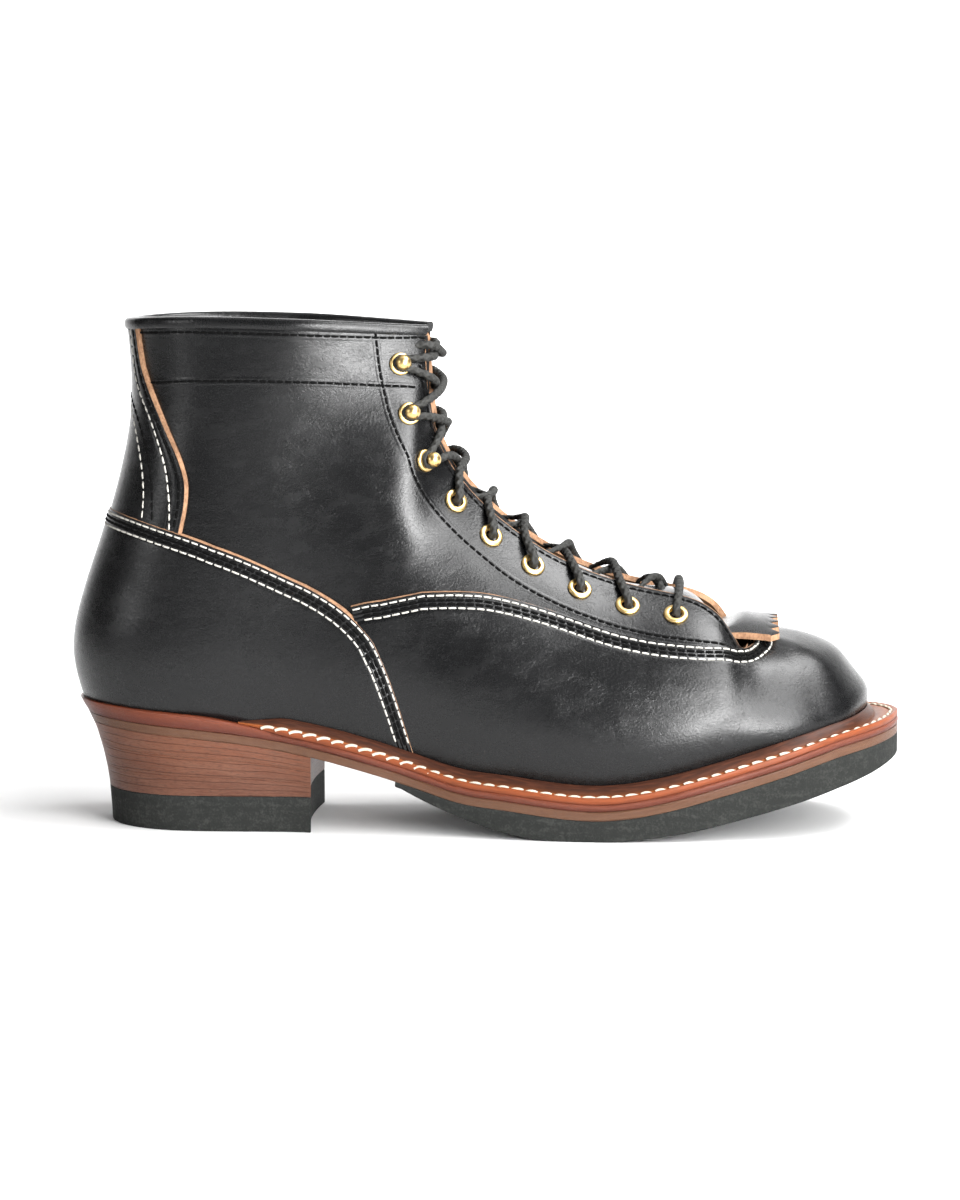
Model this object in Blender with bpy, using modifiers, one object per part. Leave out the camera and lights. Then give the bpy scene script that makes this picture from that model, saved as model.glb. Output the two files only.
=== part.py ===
"""A lace-to-toe logger boot for the right foot: a leather upper with vamp, counter and backstay laid
over it, on a stitched welt, two leather soles, a stacked heel and a rubber tread.

+X points to the toe, +Y to the inner side of the foot and +Z up. The origin is the middle of the
heel's tread, on the floor. All sizes are in metres."""

import math
from collections import namedtuple

import bmesh
import bpy
import numpy as np
from mathutils import Matrix, Vector

# Driving sizes of the last and the sole
SOLE_LENGTH = 0.304
BALL_WIDTH = 0.108
HEEL_WIDTH = 0.073
SHAFT_HEIGHT = 0.187
INSTEP_HEIGHT = 0.100
TOE_HEIGHT = 0.0680
SEAT_HEIGHT = 0.0460
TREAD_LENGTH = 0.077
HEEL_UNDERCUT = 0.0117
HEEL_TAPER = 0.0018
BREAST_HOLLOW = 0.0025
WELT_REACH = 0.0110

# Leather and rubber thicknesses
WALL = 0.0024
OVERLAY_THICKNESS = 0.0018
TONGUE_THICKNESS = 0.0022
KILTIE_THICKNESS = 0.0024
WELT_THICKNESS = 0.0024
MIDSOLE_THICKNESS = 0.0026
SLIP_SOLE_THICKNESS = 0.0030
INSOLE_THICKNESS = 0.0030
TREAD_LEAST = 0.0016
TOP_LIFT_THICKNESS = 0.0130
LIFT_COUNT = 3
BEAD_HEIGHT = 0.0034
BEAD_WIDTH = 0.0028
BINDING_HEIGHT = 0.0026
BINDING_PROUD = 0.0005
GAP = 0.0003
SKIN_GAP = 0.0005
FOOT_GAP = 0.0009
TONGUE_CLEARANCE = 0.0010

# Brass and lace
EYELET_RADIUS = 0.0045
EYELET_HOLE_RADIUS = 0.0021
EYELET_BARREL_RADIUS = 0.0026
EYELET_FLANGE = 0.0008
HOOK_BASE_RADIUS = 0.0041
HOOK_BASE_THICKNESS = 0.0009
HOOK_NECK_RADIUS = 0.0014
HOOK_HEAD_RADIUS = 0.0028
HOOK_HEIGHT = 0.0066
EYELET_LIFT = 0.0007
HOOK_LIFT = 0.0006
LACE_RADIUS = 0.0014
LACE_CLEARANCE = 0.0011

HEEL_REAR = -(TREAD_LENGTH / 2 + HEEL_UNDERCUT)
HEEL_BREAST = TREAD_LENGTH / 2
OVERLAY = SKIN_GAP + OVERLAY_THICKNESS

# The top of the welt and heel seat, and the bottom of the rubber, from the heel's rear rim to the tip.
# along is a share of SOLE_LENGTH, up a share of SEAT_HEIGHT.
Profile = namedtuple("Profile", "along up")
SEAT_LINE = [
    Profile(0.000, 1.000),
    Profile(0.100, 0.953),
    Profile(0.200, 0.887),
    Profile(0.289, 0.789),
    Profile(0.378, 0.640),
    Profile(0.427, 0.541),
    Profile(0.474, 0.455),
    Profile(0.523, 0.418),
    Profile(0.571, 0.380),
    Profile(0.643, 0.355),
    Profile(0.690, 0.392),
    Profile(0.770, 0.517),
    Profile(0.854, 0.676),
    Profile(0.930, 0.826),
    Profile(1.000, 0.905),
]
TREAD_LINE = [
    Profile(0.393, 0.392),
    Profile(0.426, 0.280),
    Profile(0.474, 0.152),
    Profile(0.523, 0.055),
    Profile(0.575, 0.002),
    Profile(0.615, -0.010),
    Profile(0.655, 0.002),
    Profile(0.725, 0.054),
    Profile(0.811, 0.174),
    Profile(0.897, 0.330),
    Profile(0.960, 0.465),
    Profile(1.000, 0.555),
]
# How far the heel's rear wall has drawn in at a height: up is a share of SEAT_HEIGHT, in_ of
# HEEL_UNDERCUT.
Undercut = namedtuple("Undercut", "up in_")
UNDERCUTS = [
    Undercut(0.00, 1.00), Undercut(0.11, 0.98), Undercut(0.30, 0.92), Undercut(0.42, 0.85),
    Undercut(0.56, 0.73), Undercut(0.75, 0.51), Undercut(0.91, 0.21), Undercut(1.00, 0.00),
]

# Levels of the form, from the feather line at the sole to the top edge. rear_up and fore_up are shares
# of the height there, behind and before the ankle. back is how far the heel's rear line lies before
# the rear rim, and tip_along how far the toe's line lies along the sole, as shares of SOLE_LENGTH.
# tip_up is a share of TOE_HEIGHT. knot is the level's place between feather and top edge.
Level = namedtuple("Level", "name knot rear_up fore_up back tip_along tip_up")
LEVELS = [
    Level("feather", 0.00, 0.00, 0.00, 0.0110, 0.948, 0.560),
    Level("bulge", 0.10, 0.10, 0.17, 0.0000, 0.955, 0.675),
    Level("low", 0.25, 0.25, 0.40, 0.0105, 0.946, 0.772),
    Level("middle", 0.42, 0.42, 0.63, 0.0370, 0.928, 0.872),
    Level("high", 0.59, 0.59, 0.82, 0.0600, 0.905, 0.948),
    Level("shoulder", 0.72, 0.72, 0.93, 0.0710, 0.872, 0.985),
    Level("edge", 1.00, 1.00, 1.00, 0.0645, 0.814, 1.005),
]

# Sections of the form, from the side of the heel to the rear of the toe. foot and top are shares of
# SOLE_LENGTH, at the feather and at the top edge; up is a share of the named height. arch blends
# rear_up into fore_up. swing and ridge move the section's middle at the feather and at the top
# towards the inner side, and the seven widths are from that middle out: all shares of half the width.
Section = namedtuple(
    "Section",
    "name foot top height up arch width swing ridge feather bulge low middle high shoulder edge",
)
SECTIONS = [
    Section("heel_side", 0.139, 0.231, SHAFT_HEIGHT, 1.021, 0.00, HEEL_WIDTH, 0.000, 0.000,
            0.863, 0.935, 0.940, 0.926, 0.918, 0.918, 0.945),
    Section("breast", 0.264, 0.329, SHAFT_HEIGHT, 1.019, 0.10, HEEL_WIDTH, -0.027, 0.000,
            0.767, 0.900, 0.930, 0.926, 0.890, 0.863, 0.836),
    Section("collar_corner", 0.346, 0.438, SHAFT_HEIGHT, 1.005, 0.35, HEEL_WIDTH, -0.096, 0.000,
            0.740, 0.918, 0.960, 0.918, 0.795, 0.644, 0.342),
    Section("hooks", 0.412, 0.440, SHAFT_HEIGHT, 0.856, 0.70, HEEL_WIDTH, -0.130, 0.000,
            0.740, 0.945, 0.986, 0.890, 0.685, 0.507, 0.233),
    Section("instep", 0.478, 0.478, INSTEP_HEIGHT, 1.290, 1.00, BALL_WIDTH, -0.083, 0.019,
            0.565, 0.704, 0.731, 0.639, 0.481, 0.333, 0.157),
    Section("lacing", 0.543, 0.534, INSTEP_HEIGHT, 1.130, 1.00, BALL_WIDTH, -0.065, 0.028,
            0.648, 0.768, 0.787, 0.676, 0.491, 0.333, 0.157),
    Section("ball_rear", 0.616, 0.609, INSTEP_HEIGHT, 0.995, 1.00, BALL_WIDTH, -0.037, 0.037,
            0.731, 0.838, 0.838, 0.713, 0.509, 0.333, 0.157),
    Section("ball", 0.691, 0.685, INSTEP_HEIGHT, 0.915, 1.00, BALL_WIDTH, 0.000, 0.046,
            0.776, 0.875, 0.866, 0.741, 0.528, 0.343, 0.157),
    Section("ball_fore", 0.764, 0.757, INSTEP_HEIGHT, 0.865, 1.00, BALL_WIDTH, 0.037, 0.056,
            0.757, 0.850, 0.838, 0.731, 0.546, 0.370, 0.167),
    Section("facing_end", 0.816, 0.795, TOE_HEIGHT, 1.115, 1.00, BALL_WIDTH, 0.065, 0.065,
            0.713, 0.803, 0.790, 0.705, 0.565, 0.440, 0.300),
    Section("throat", 0.843, 0.812, TOE_HEIGHT, 0.985, 1.00, BALL_WIDTH, 0.074, 0.074,
            0.685, 0.776, 0.760, 0.677, 0.570, 0.460, 0.345),
]
TIP_SWING = 0.111
FAN_ANGLES = (0.0, 30.0, 60.0)

# Stations count the form's rings from the back seam, 0, to the toe's tip. The inner side has the
# same numbers below zero.
TIP = len(FAN_ANGLES) + len(SECTIONS) + len(FAN_ANGLES) - 1
ROUND = 2 * TIP

# How far the sole's edge lies outside the feather line, as shares of WELT_REACH.
Reach = namedtuple("Reach", "station share")
SOLE_REACH = [
    Reach(0, 0.30), Reach(3, 0.42), Reach(4, 0.57), Reach(5, 0.72), Reach(6, 0.78),
    Reach(7, 0.88), Reach(8, 1.00), Reach(12, 1.00), Reach(14, 1.12), Reach(TIP, 1.40),
]

# Edges of the panels: at is a station, up the share of the way from feather to top edge.
Edge = namedtuple("Edge", "at up")
COLLAR_END = 4.9
COLLAR_EDGE = [
    Edge(0.0, 0.946), Edge(1.0, 0.950), Edge(2.0, 0.954), Edge(3.0, 0.957), Edge(4.0, 0.947),
    Edge(4.6, 0.908), Edge(COLLAR_END, 0.905),
]
THROAT_EDGE = [
    Edge(12.55, 0.665), Edge(12.85, 0.740), Edge(13.1, 0.960), Edge(13.6, 0.990), Edge(TIP, 1.000),
]
VAMP_EDGE = [
    Edge(4.6, 0.278), Edge(5.0, 0.290), Edge(5.5, 0.310), Edge(6.0, 0.338), Edge(6.5, 0.376),
    Edge(7.0, 0.421), Edge(7.5, 0.460), Edge(8.0, 0.484), Edge(8.5, 0.508), Edge(9.0, 0.515),
    Edge(10.0, 0.501), Edge(10.5, 0.490), Edge(11.0, 0.493), Edge(11.5, 0.516), Edge(12.1, 0.582),
    Edge(12.5, 0.636), Edge(12.85, 0.665), Edge(13.1, 0.880), Edge(13.6, 0.940), Edge(TIP, 0.960),
]
COUNTER_EDGE = [
    Edge(0.0, 0.479), Edge(1.0, 0.475), Edge(1.5, 0.466), Edge(2.0, 0.453), Edge(2.5, 0.435),
    Edge(3.0, 0.415), Edge(3.5, 0.383), Edge(4.0, 0.336), Edge(4.3, 0.300), Edge(4.6, 0.263),
    Edge(5.0, 0.213), Edge(5.4, 0.168), Edge(5.8, 0.099), Edge(6.0, 0.054), Edge(6.2, 0.000),
]
# The backstay's side edge: for a height share, the station.
BACKSTAY_SIDE = [
    Edge(2.42, 0.430), Edge(2.42, 0.500), Edge(2.36, 0.560), Edge(2.22, 0.600), Edge(2.05, 0.640),
    Edge(1.80, 0.683), Edge(1.60, 0.720), Edge(1.40, 0.757), Edge(1.20, 0.796), Edge(1.00, 0.841),
    Edge(0.90, 0.885), Edge(0.85, 0.965),
]
BACKSTAY_TOP = 0.943

# The facings: rows from the collar to the throat, pairing the facing's edge with its inner seam.
Facing = namedtuple("Facing", "edge_at edge_up seam_at seam_up")
FACINGS = [
    Facing(COLLAR_END, 0.905, 4.35, 0.915),
    Facing(5.00, 0.833, 4.45, 0.800),
    Facing(5.35, 0.764, 4.62, 0.690),
    Facing(6.00, 0.762, 4.85, 0.615),
    Facing(6.50, 0.769, 5.25, 0.555),
    Facing(7.00, 0.772, 5.95, 0.545),
    Facing(7.50, 0.772, 6.60, 0.551),
    Facing(8.00, 0.770, 7.25, 0.556),
    Facing(8.50, 0.764, 7.90, 0.546),
    Facing(9.00, 0.765, 8.60, 0.545),
    Facing(9.50, 0.774, 9.20, 0.543),
    Facing(10.00, 0.771, 9.80, 0.535),
    Facing(10.50, 0.756, 10.35, 0.520),
    Facing(11.00, 0.745, 10.90, 0.515),
    Facing(11.40, 0.731, 11.30, 0.530),
    Facing(11.80, 0.720, 11.65, 0.550),
    Facing(12.15, 0.702, 12.00, 0.580),
    Facing(12.40, 0.655, 12.30, 0.615),
]
TOP_EDGE = COLLAR_EDGE[:-1] + [Edge(f.edge_at, f.edge_up) for f in FACINGS] + THROAT_EDGE

# Brass: stations and height shares. row is the facing row, counted from the collar, that it lies on.
Brass = namedtuple("Brass", "at up row")
EYELETS = [
    Brass(10.55, 0.625, 12.20), Brass(9.78, 0.635, 10.70), Brass(9.02, 0.640, 9.20),
    Brass(8.28, 0.643, 7.75), Brass(7.50, 0.645, 6.30), Brass(6.72, 0.645, 5.00),
]
HOOKS = [Brass(5.65, 0.620, 3.60), Brass(4.88, 0.690, 2.35), Brass(4.65, 0.815, 1.05)]

# The kiltie's rows before the facings. along is a share of SOLE_LENGTH, up and drop of TOE_HEIGHT,
# half of BALL_WIDTH.
Kiltie = namedtuple("Kiltie", "along up half drop")
KILTIE_ROWS = [
    Kiltie(0.8080, 1.138, 0.200, 0.080),
    Kiltie(0.8250, 1.134, 0.208, 0.080),
    Kiltie(0.8370, 1.130, 0.211, 0.080),
]
KILTIE_END = Kiltie(0.8510, 1.125, 0.213, 0.080)
KILTIE_FIRST_ROW = 9
KILTIE_LAST_ROW = 15
KILTIE_TEETH = 9


class Spline:
    """A smooth curve through values at knots: free at its ends or, with a period, closed."""

    def __init__(self, knots, values, period=None):
        knots = np.asarray(knots, float)
        values = np.asarray(values, float)
        if period:
            knots = np.append(knots, knots[0] + period)
            values = np.concatenate([values, values[:1]])
        count = len(knots)
        step = np.diff(knots)
        column = (slice(None),) + (None,) * (values.ndim - 1)
        slope = np.diff(values, axis=0) / step[column]
        system = np.zeros((count, count))
        right = np.zeros_like(values)
        for i in range(1, count - 1):
            system[i, i - 1 : i + 2] = step[i - 1], 2 * (step[i - 1] + step[i]), step[i]
            right[i] = 6 * (slope[i] - slope[i - 1])
        if period:
            system[0, 0], system[0, -1] = 1, -1
            system[-1, 0], system[-1, 1] = 2 * step[0], step[0]
            system[-1, -2], system[-1, -1] = step[-1], 2 * step[-1]
            right[-1] = 6 * (slope[0] - slope[-1])
        else:
            system[0, 0] = system[-1, -1] = 1
        bend = np.linalg.solve(system, right.reshape(count, -1)).reshape(values.shape)
        self.knots, self.values, self.bend, self.period = knots, values, bend, period

    def __call__(self, where):
        where = np.asarray(where, float)
        if self.period:
            where = self.knots[0] + (where - self.knots[0]) % self.period
        i = np.clip(np.searchsorted(self.knots, where, side="right") - 1, 0, len(self.knots) - 2)
        step = self.knots[i + 1] - self.knots[i]
        b = (where - self.knots[i]) / step
        extra = (Ellipsis,) + (None,) * (self.values.ndim - 1)
        a, b, step = (1 - b)[extra], b[extra], step[extra]
        curved = (a**3 - a) * self.bend[i] + (b**3 - b) * self.bend[i + 1]
        return a * self.values[i] + b * self.values[i + 1] + curved * step**2 / 6


def along(share):
    """The place of a share of the sole's length."""
    return HEEL_REAR + share * SOLE_LENGTH


seat_line = Spline([along(p.along) for p in SEAT_LINE], [p.up * SEAT_HEIGHT for p in SEAT_LINE])
tread_line = Spline([along(p.along) for p in TREAD_LINE], [p.up * SEAT_HEIGHT for p in TREAD_LINE])
WELT_START = (-0.006, 0.034)


def midsole_top(x):
    """The seat's rim behind, and the face the welt lies on before it."""
    ramp = np.clip((x - WELT_START[0]) / (WELT_START[1] - WELT_START[0]), 0, 1)
    return seat_line(x) - (WELT_THICKNESS + GAP) * ramp * ramp * (3 - 2 * ramp)


def midsole_bottom(x):
    return seat_line(x) - WELT_THICKNESS - GAP - MIDSOLE_THICKNESS


def slip_top(x):
    return midsole_bottom(x) - GAP


def slip_bottom(x):
    return slip_top(x) - SLIP_SOLE_THICKNESS


def tread_top(x):
    return slip_bottom(x) - GAP


def tread_bottom(x):
    """The rubber's underside, flat on the floor under the ball."""
    return np.minimum(np.maximum(tread_line(x), 0.0), tread_top(x) - TREAD_LEAST)


def section_points(section):
    """The seven level points of a section as (x, middle, half width, z)."""
    rear = np.array([level.rear_up for level in LEVELS])
    fore = np.array([level.fore_up for level in LEVELS])
    share = rear + (fore - rear) * section.arch
    foot = along(section.foot)
    x = foot + (along(section.top) - foot) * share
    low = midsole_top(foot) + FOOT_GAP
    z = low + (section.up * section.height - low) * share
    half = section.width / 2
    middle = (section.swing + (section.ridge - section.swing) * share) * half
    widths = np.array(section[-len(LEVELS):]) * half
    return x, middle, widths, z


def form_rings():
    """The form's level points at each station, for the outer (-Y) and the inner side."""
    side, throat = section_points(SECTIONS[0]), section_points(SECTIONS[-1])
    back = np.array([along(level.back) for level in LEVELS])
    tip_x = np.array([along(level.tip_along) for level in LEVELS])
    tip_z = np.array([level.tip_up * TOE_HEIGHT for level in LEVELS])
    tip_z[0] = midsole_top(tip_x[0]) + FOOT_GAP
    tip_middle = TIP_SWING * BALL_WIDTH / 2
    outer, inner = [], []

    def add(x, middle, half, z):
        outer.append(np.stack([x, middle - half, z], 1))
        inner.append(np.stack([x, middle + half, z], 1))

    for angle in FAN_ANGLES:
        c, s = math.cos(math.radians(angle)), math.sin(math.radians(angle))
        x = side[0] - (side[0] - back) * c
        foot = midsole_top(x[0]) + FOOT_GAP
        share = (side[3] - side[3][0]) / (side[3][-1] - side[3][0])
        add(x, side[1] * s, side[2] * s, foot + (side[3][-1] - foot) * share)
    for section in SECTIONS:
        add(*section_points(section))
    for angle in FAN_ANGLES[1:] + (90.0,):
        c, s = math.cos(math.radians(angle)), math.sin(math.radians(angle))
        x = throat[0] + (tip_x - throat[0]) * s
        z = throat[3] + (tip_z - throat[3]) * s * s
        z[0] = midsole_top(x[0]) + FOOT_GAP
        add(x, throat[1] + (tip_middle - throat[1]) * s, throat[2] * c, z)
    return np.array(outer), np.array(inner)


OUTER_RINGS, INNER_RINGS = form_rings()
CHORDS = np.linalg.norm(np.diff(OUTER_RINGS, axis=0), axis=2).mean(1)
CHORDS = (CHORDS + np.linalg.norm(np.diff(INNER_RINGS, axis=0), axis=2).mean(1)) / 2
STATION_WAY = np.concatenate([[0.0], np.cumsum(np.concatenate([CHORDS, CHORDS[::-1]]))])
RING_SPLINE = Spline(
    STATION_WAY[:-1], np.concatenate([OUTER_RINGS, INNER_RINGS[-2:0:-1]]), period=STATION_WAY[-1]
)
LEVEL_KNOTS = [level.knot for level in LEVELS]


def form(station, up):
    """Points of the upper's outer skin at one station, from the feather, 0, to the top edge, 1."""
    way = np.interp(station % ROUND, np.arange(ROUND + 1), STATION_WAY)
    return Spline(LEVEL_KNOTS, RING_SPLINE(way))(up)


def form_normal(station, up):
    """The skin's outward normals at these places."""
    step = 0.01
    round_way = form(station + step, up) - form(station - step, up)
    up_way = form(station, np.asarray(up) + step) - form(station, np.asarray(up) - step)
    normal = np.cross(round_way, up_way)
    return normal / np.linalg.norm(normal, axis=-1, keepdims=True)


def lifted(station, up, height):
    """Points this far outside the skin, kept clear of the midsole."""
    points = form(station, up) + form_normal(station, up) * np.asarray(height)[..., None]
    points[..., 2] = np.maximum(points[..., 2], midsole_top(points[..., 0]) + FOOT_GAP)
    return points


def from_back(station):
    """The station's number counted from the back seam, the same on both sides."""
    turned = station % ROUND
    return min(turned, ROUND - turned)


def edge_up(edge, station):
    """The height share of a panel's edge at a station."""
    return float(np.interp(from_back(station), [e.at for e in edge], [e.up for e in edge]))


# Shared mesh columns and rows, so that panels laid on each other have parallel facets
COLUMNS = (0, 0.75, 1.4, 2.05, 2.65, 3.2, 3.7, 4.2, 4.6, 4.9, 5.15, 5.5, 5.85, 6.2, 6.6, 7.1, 7.7, 8.3, 9,
           9.7, 10.4, 11, 11.4, 11.8, 12.2, 12.55, 12.85, 13.1, 13.6, 14.2, 14.9, TIP)
ROWS = (0.0, 0.05, 0.11, 0.19, 0.28, 0.37, 0.46, 0.55, 0.65, 0.75, 0.85, 0.93, 1.0)


def columns_between(first, last):
    """The shared columns from one station to another, which may lie on the inner side."""
    both = {float(s) for s in COLUMNS} | {ROUND - float(s) for s in COLUMNS}
    both = sorted(both | {s - ROUND for s in both})
    return [s for s in both if first <= s <= last]


def new_object(name, mesh, material):
    """A mesh object of the boot, smooth but for its sharp edges."""
    obj = bpy.data.objects.new(name, mesh)
    mesh.shade_smooth()
    mesh.set_sharp_from_angle(angle=math.radians(40))
    obj.data.materials.append(material)
    BOOT.objects.link(obj)
    return obj


def mesh_of(name, points, faces):
    """A mesh with all its faces turned outwards."""
    mesh = bpy.data.meshes.new(name)
    mesh.from_pydata([tuple(map(float, p)) for p in points], [], faces)
    bm = bmesh.new()
    bm.from_mesh(mesh)
    bmesh.ops.recalc_face_normals(bm, faces=bm.faces)
    bm.to_mesh(mesh)
    bm.free()
    return mesh


def shell_mesh(name, columns, outer, inner, closed=False):
    """A closed wall over a lattice of keys: each column has the same count of keys, and keys that
    repeat are one vertex. outer and inner give a key's two points."""
    index, keys = {}, []
    for column in columns:
        for key in column:
            if key not in index:
                index[key] = len(keys)
                keys.append(key)
    faces, sides = [], {}
    count = len(columns)
    for i in range(count if closed else count - 1):
        here, there = columns[i], columns[(i + 1) % count]
        for j in range(len(here) - 1):
            ring = [index[k] for k in (here[j], there[j], there[j + 1], here[j + 1])]
            face = [v for n, v in enumerate(ring) if v != ring[n - 1]]
            if len(set(face)) < 3:
                continue
            faces.append(face)
            for a, b in zip(face, face[1:] + face[:1]):
                side = (min(a, b), max(a, b))
                sides[side] = sides.get(side, 0) + 1
    used = sorted({v for face in faces for v in face})
    place = {v: n for n, v in enumerate(used)}
    size = len(used)
    points = [outer(keys[v]) for v in used] + [inner(keys[v]) for v in used]
    faces = [[place[v] for v in face] for face in faces]
    rims = [(place[a], place[b]) for (a, b), n in sides.items() if n == 1]
    walls = [[a, b, b + size, a + size] for a, b in rims]
    return mesh_of(name, points, faces + [[v + size for v in face[::-1]] for face in faces] + walls)


def panel(name, material, columns, low, high, inside, outside, side=None, closed=False):
    """A panel of the form between its low and high edges, from one height off the skin to another.
    side, if given, is the station where the panel ends at a height share."""
    lattice = []
    for station in columns:
        bottom, top = low(station), high(station)
        column = []
        for row in ROWS:
            up = min(max(row, bottom), max(top, bottom))
            at = station
            if side:
                at = min(max(station, -side(up)), side(up))
            column.append((round(at % ROUND if closed else at, 6), round(up, 6)))
        lattice.append(column)
    mesh = shell_mesh(
        name, lattice, lambda k: lifted(*k, outside), lambda k: lifted(*k, inside), closed
    )
    return new_object(name, mesh, material)


def sweep_mesh(name, rings):
    """A solid from rings of points, with its two ends closed."""
    count = len(rings[0])
    points = [point for ring in rings for point in ring]
    faces = [list(range(count)), list(range(len(points) - count, len(points)))]
    for i in range(len(rings) - 1):
        for j in range(count):
            k = (j + 1) % count
            faces.append([i * count + j, i * count + k, (i + 1) * count + k, (i + 1) * count + j])
    return mesh_of(name, points, faces)


def make_material(name, colour, roughness, metallic=0.0):
    made = bpy.data.materials.new(name)
    made.use_nodes = True
    shader = made.node_tree.nodes["Principled BSDF"]
    shader.inputs["Base Color"].default_value = (*colour, 1.0)
    shader.inputs["Roughness"].default_value = roughness
    shader.inputs["Metallic"].default_value = metallic
    made.diffuse_color = (*colour, 1.0)
    return made


def clear_scene():
    for obj in list(bpy.data.objects):
        bpy.data.objects.remove(obj)


def new_collection(name):
    made = bpy.data.collections.new(name)
    bpy.context.scene.collection.children.link(made)
    return made


def keep_as_wire(obj):
    """Keeps a Boolean's operand out of the part's own collection."""
    CUTTERS.objects.link(obj)
    obj.hide_render = True
    obj.display_type = "WIRE"


def add_boolean(obj, operand, operation):
    keep_as_wire(operand)
    boolean = obj.modifiers.new("boolean", "BOOLEAN")
    boolean.operation = operation
    boolean.solver = "EXACT"
    boolean.object = operand


# The upper and the panels over it


def make_upper(leather):
    """The quarters and their lining: one hollow wall, open at collar, throat and sole."""
    obj = panel(
        "upper", leather, columns_between(0, ROUND - 0.001), lambda s: 0.0,
        lambda s: edge_up(TOP_EDGE, s), -WALL, 0.0, closed=True,
    )
    holes = bpy.data.meshes.new("eyelet_holes")
    bm = bmesh.new()
    for place in brass_places(EYELETS):
        bmesh.ops.create_cone(
            bm, cap_ends=True, segments=12, radius1=EYELET_BARREL_RADIUS + GAP,
            radius2=EYELET_BARREL_RADIUS + GAP, depth=6 * WALL, matrix=place,
        )
    bm.to_mesh(holes)
    bm.free()
    add_boolean(obj, bpy.data.objects.new("eyelet_holes", holes), "DIFFERENCE")


def make_overlays(leather):
    """Vamp, counter and backstay. The vamp stops along the counter's edge."""
    panel(
        "vamp", leather, columns_between(4.6, ROUND - 4.6),
        lambda s: edge_up(COUNTER_EDGE, s) + 0.010 if from_back(s) < 6.3 else 0.0,
        lambda s: edge_up(VAMP_EDGE, s), SKIN_GAP, OVERLAY,
    )
    panel(
        "counter", leather, columns_between(-6.2, 6.2), lambda s: 0.0,
        lambda s: edge_up(COUNTER_EDGE, s), SKIN_GAP, OVERLAY,
    )
    ups = [e.up for e in BACKSTAY_SIDE]
    panel(
        "backstay", leather, columns_between(-2.7, 2.7),
        lambda s: edge_up(COUNTER_EDGE, min(abs(s), BACKSTAY_SIDE[0].at)) + 0.004,
        lambda s: BACKSTAY_TOP, SKIN_GAP, OVERLAY,
        side=lambda up: float(np.interp(up, ups, [e.at for e in BACKSTAY_SIDE])),
    )


def make_binding(leather):
    """The rolled binding along the collar's rim, wider where the backstay lies under it."""
    rings = []
    for station in columns_between(-COLLAR_END, COLLAR_END):
        up = edge_up(TOP_EDGE, station)
        normal = form_normal(station, up)
        rise = form(station, up + 0.01) - form(station, up - 0.01)
        rise -= normal * (rise @ normal)
        rise /= np.linalg.norm(rise)
        over = OVERLAY * float(np.interp(abs(station), [0.9, 1.5], [1, 0]))
        outside, inside, height = BINDING_PROUD + over, -WALL - BINDING_PROUD, BINDING_HEIGHT
        section = [
            (inside, 0), (outside, 0), (outside, 0.6 * height), (outside * 0.55, height),
            (inside * 0.75, height), (inside, 0.6 * height),
        ]
        base = form(station, up) + rise * GAP
        rings.append([base + normal * n + rise * r for n, r in section])
    new_object("collar_binding", sweep_mesh("collar_binding", rings), leather)


# Tongue, kiltie and the lace over them

OPENING = 0.5
ARCH_RISE = 0.0022


def facing_row(row):
    """The facing's edge and seam at a row that may lie between two others."""
    table = np.array(FACINGS)
    return [float(np.interp(row, np.arange(len(table)), table[:, i])) for i in range(4)]


def facing_middle(row):
    """The middle between the two facings' edges."""
    edge_at, edge_height = facing_row(row)[:2]
    return (form(edge_at, edge_height) + form(-edge_at, edge_height)) / 2


def opening_section(row, depth, reach, across):
    """Points across the lacing at a facing row, and the way up there: under the facings at this depth
    below the skin for a reach of the facing's width, and arched between their edges. across runs from
    -1 to 1, and the facings' edges lie at -OPENING and OPENING."""
    edge_at, edge_height, seam_at, seam_height = facing_row(row)
    points = {}
    for side in (-1, 1):
        for share, t in ((reach, 1.0), (reach / 2, (1 + OPENING) / 2), (0.0, OPENING)):
            at = edge_at + (seam_at - edge_at) * share
            up = edge_height + (seam_height - edge_height) * share
            points[side * t] = lifted(-side * at, up, -depth)
    left, right = points[-OPENING], points[OPENING]
    forward = facing_middle(row + 0.3) - facing_middle(row - 0.3)
    rise = np.cross(forward, right - left)
    rise *= np.sign(rise[2]) / np.linalg.norm(rise)
    points[0.0] = (left + right) / 2 + rise * ARCH_RISE
    places = sorted(points)
    return Spline(places, [points[t] for t in places])(np.asarray(across)), rise


def tongue_depth(row):
    """The tongue's outer face lies deeper where the kiltie runs between it and the facings."""
    sink = float(np.interp(row, [KILTIE_FIRST_ROW - 1.6, KILTIE_FIRST_ROW - 0.6], [0, 1]))
    rim = float(np.interp(row, [0, 1], [0.0008, 0]))
    return WALL + TONGUE_CLEARANCE + rim + sink * (KILTIE_THICKNESS + TONGUE_CLEARANCE + 3 * GAP)


def loft(name, material, outer_rows, inner_rows):
    """A sheet with thickness between two matching grids of points."""
    rows, count = len(outer_rows), len(outer_rows[0])
    lattice = [[(i, j) for j in range(count)] for i in range(rows)]
    mesh = shell_mesh(
        name, lattice, lambda k: outer_rows[k[0]][k[1]], lambda k: inner_rows[k[0]][k[1]]
    )
    return new_object(name, mesh, material)


def make_tongue(leather):
    """The tongue, from the collar to just short of the throat."""
    across = (-1, -0.75, -0.5, -0.25, 0, 0.25, 0.5, 0.75, 1)
    rows = range(KILTIE_LAST_ROW + 1)
    outer = [opening_section(r, tongue_depth(r), 0.8, across)[0] for r in rows]
    inner = [opening_section(r, tongue_depth(r) + TONGUE_THICKNESS, 0.8, across)[0] for r in rows]
    loft("tongue", leather, outer, inner)


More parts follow.
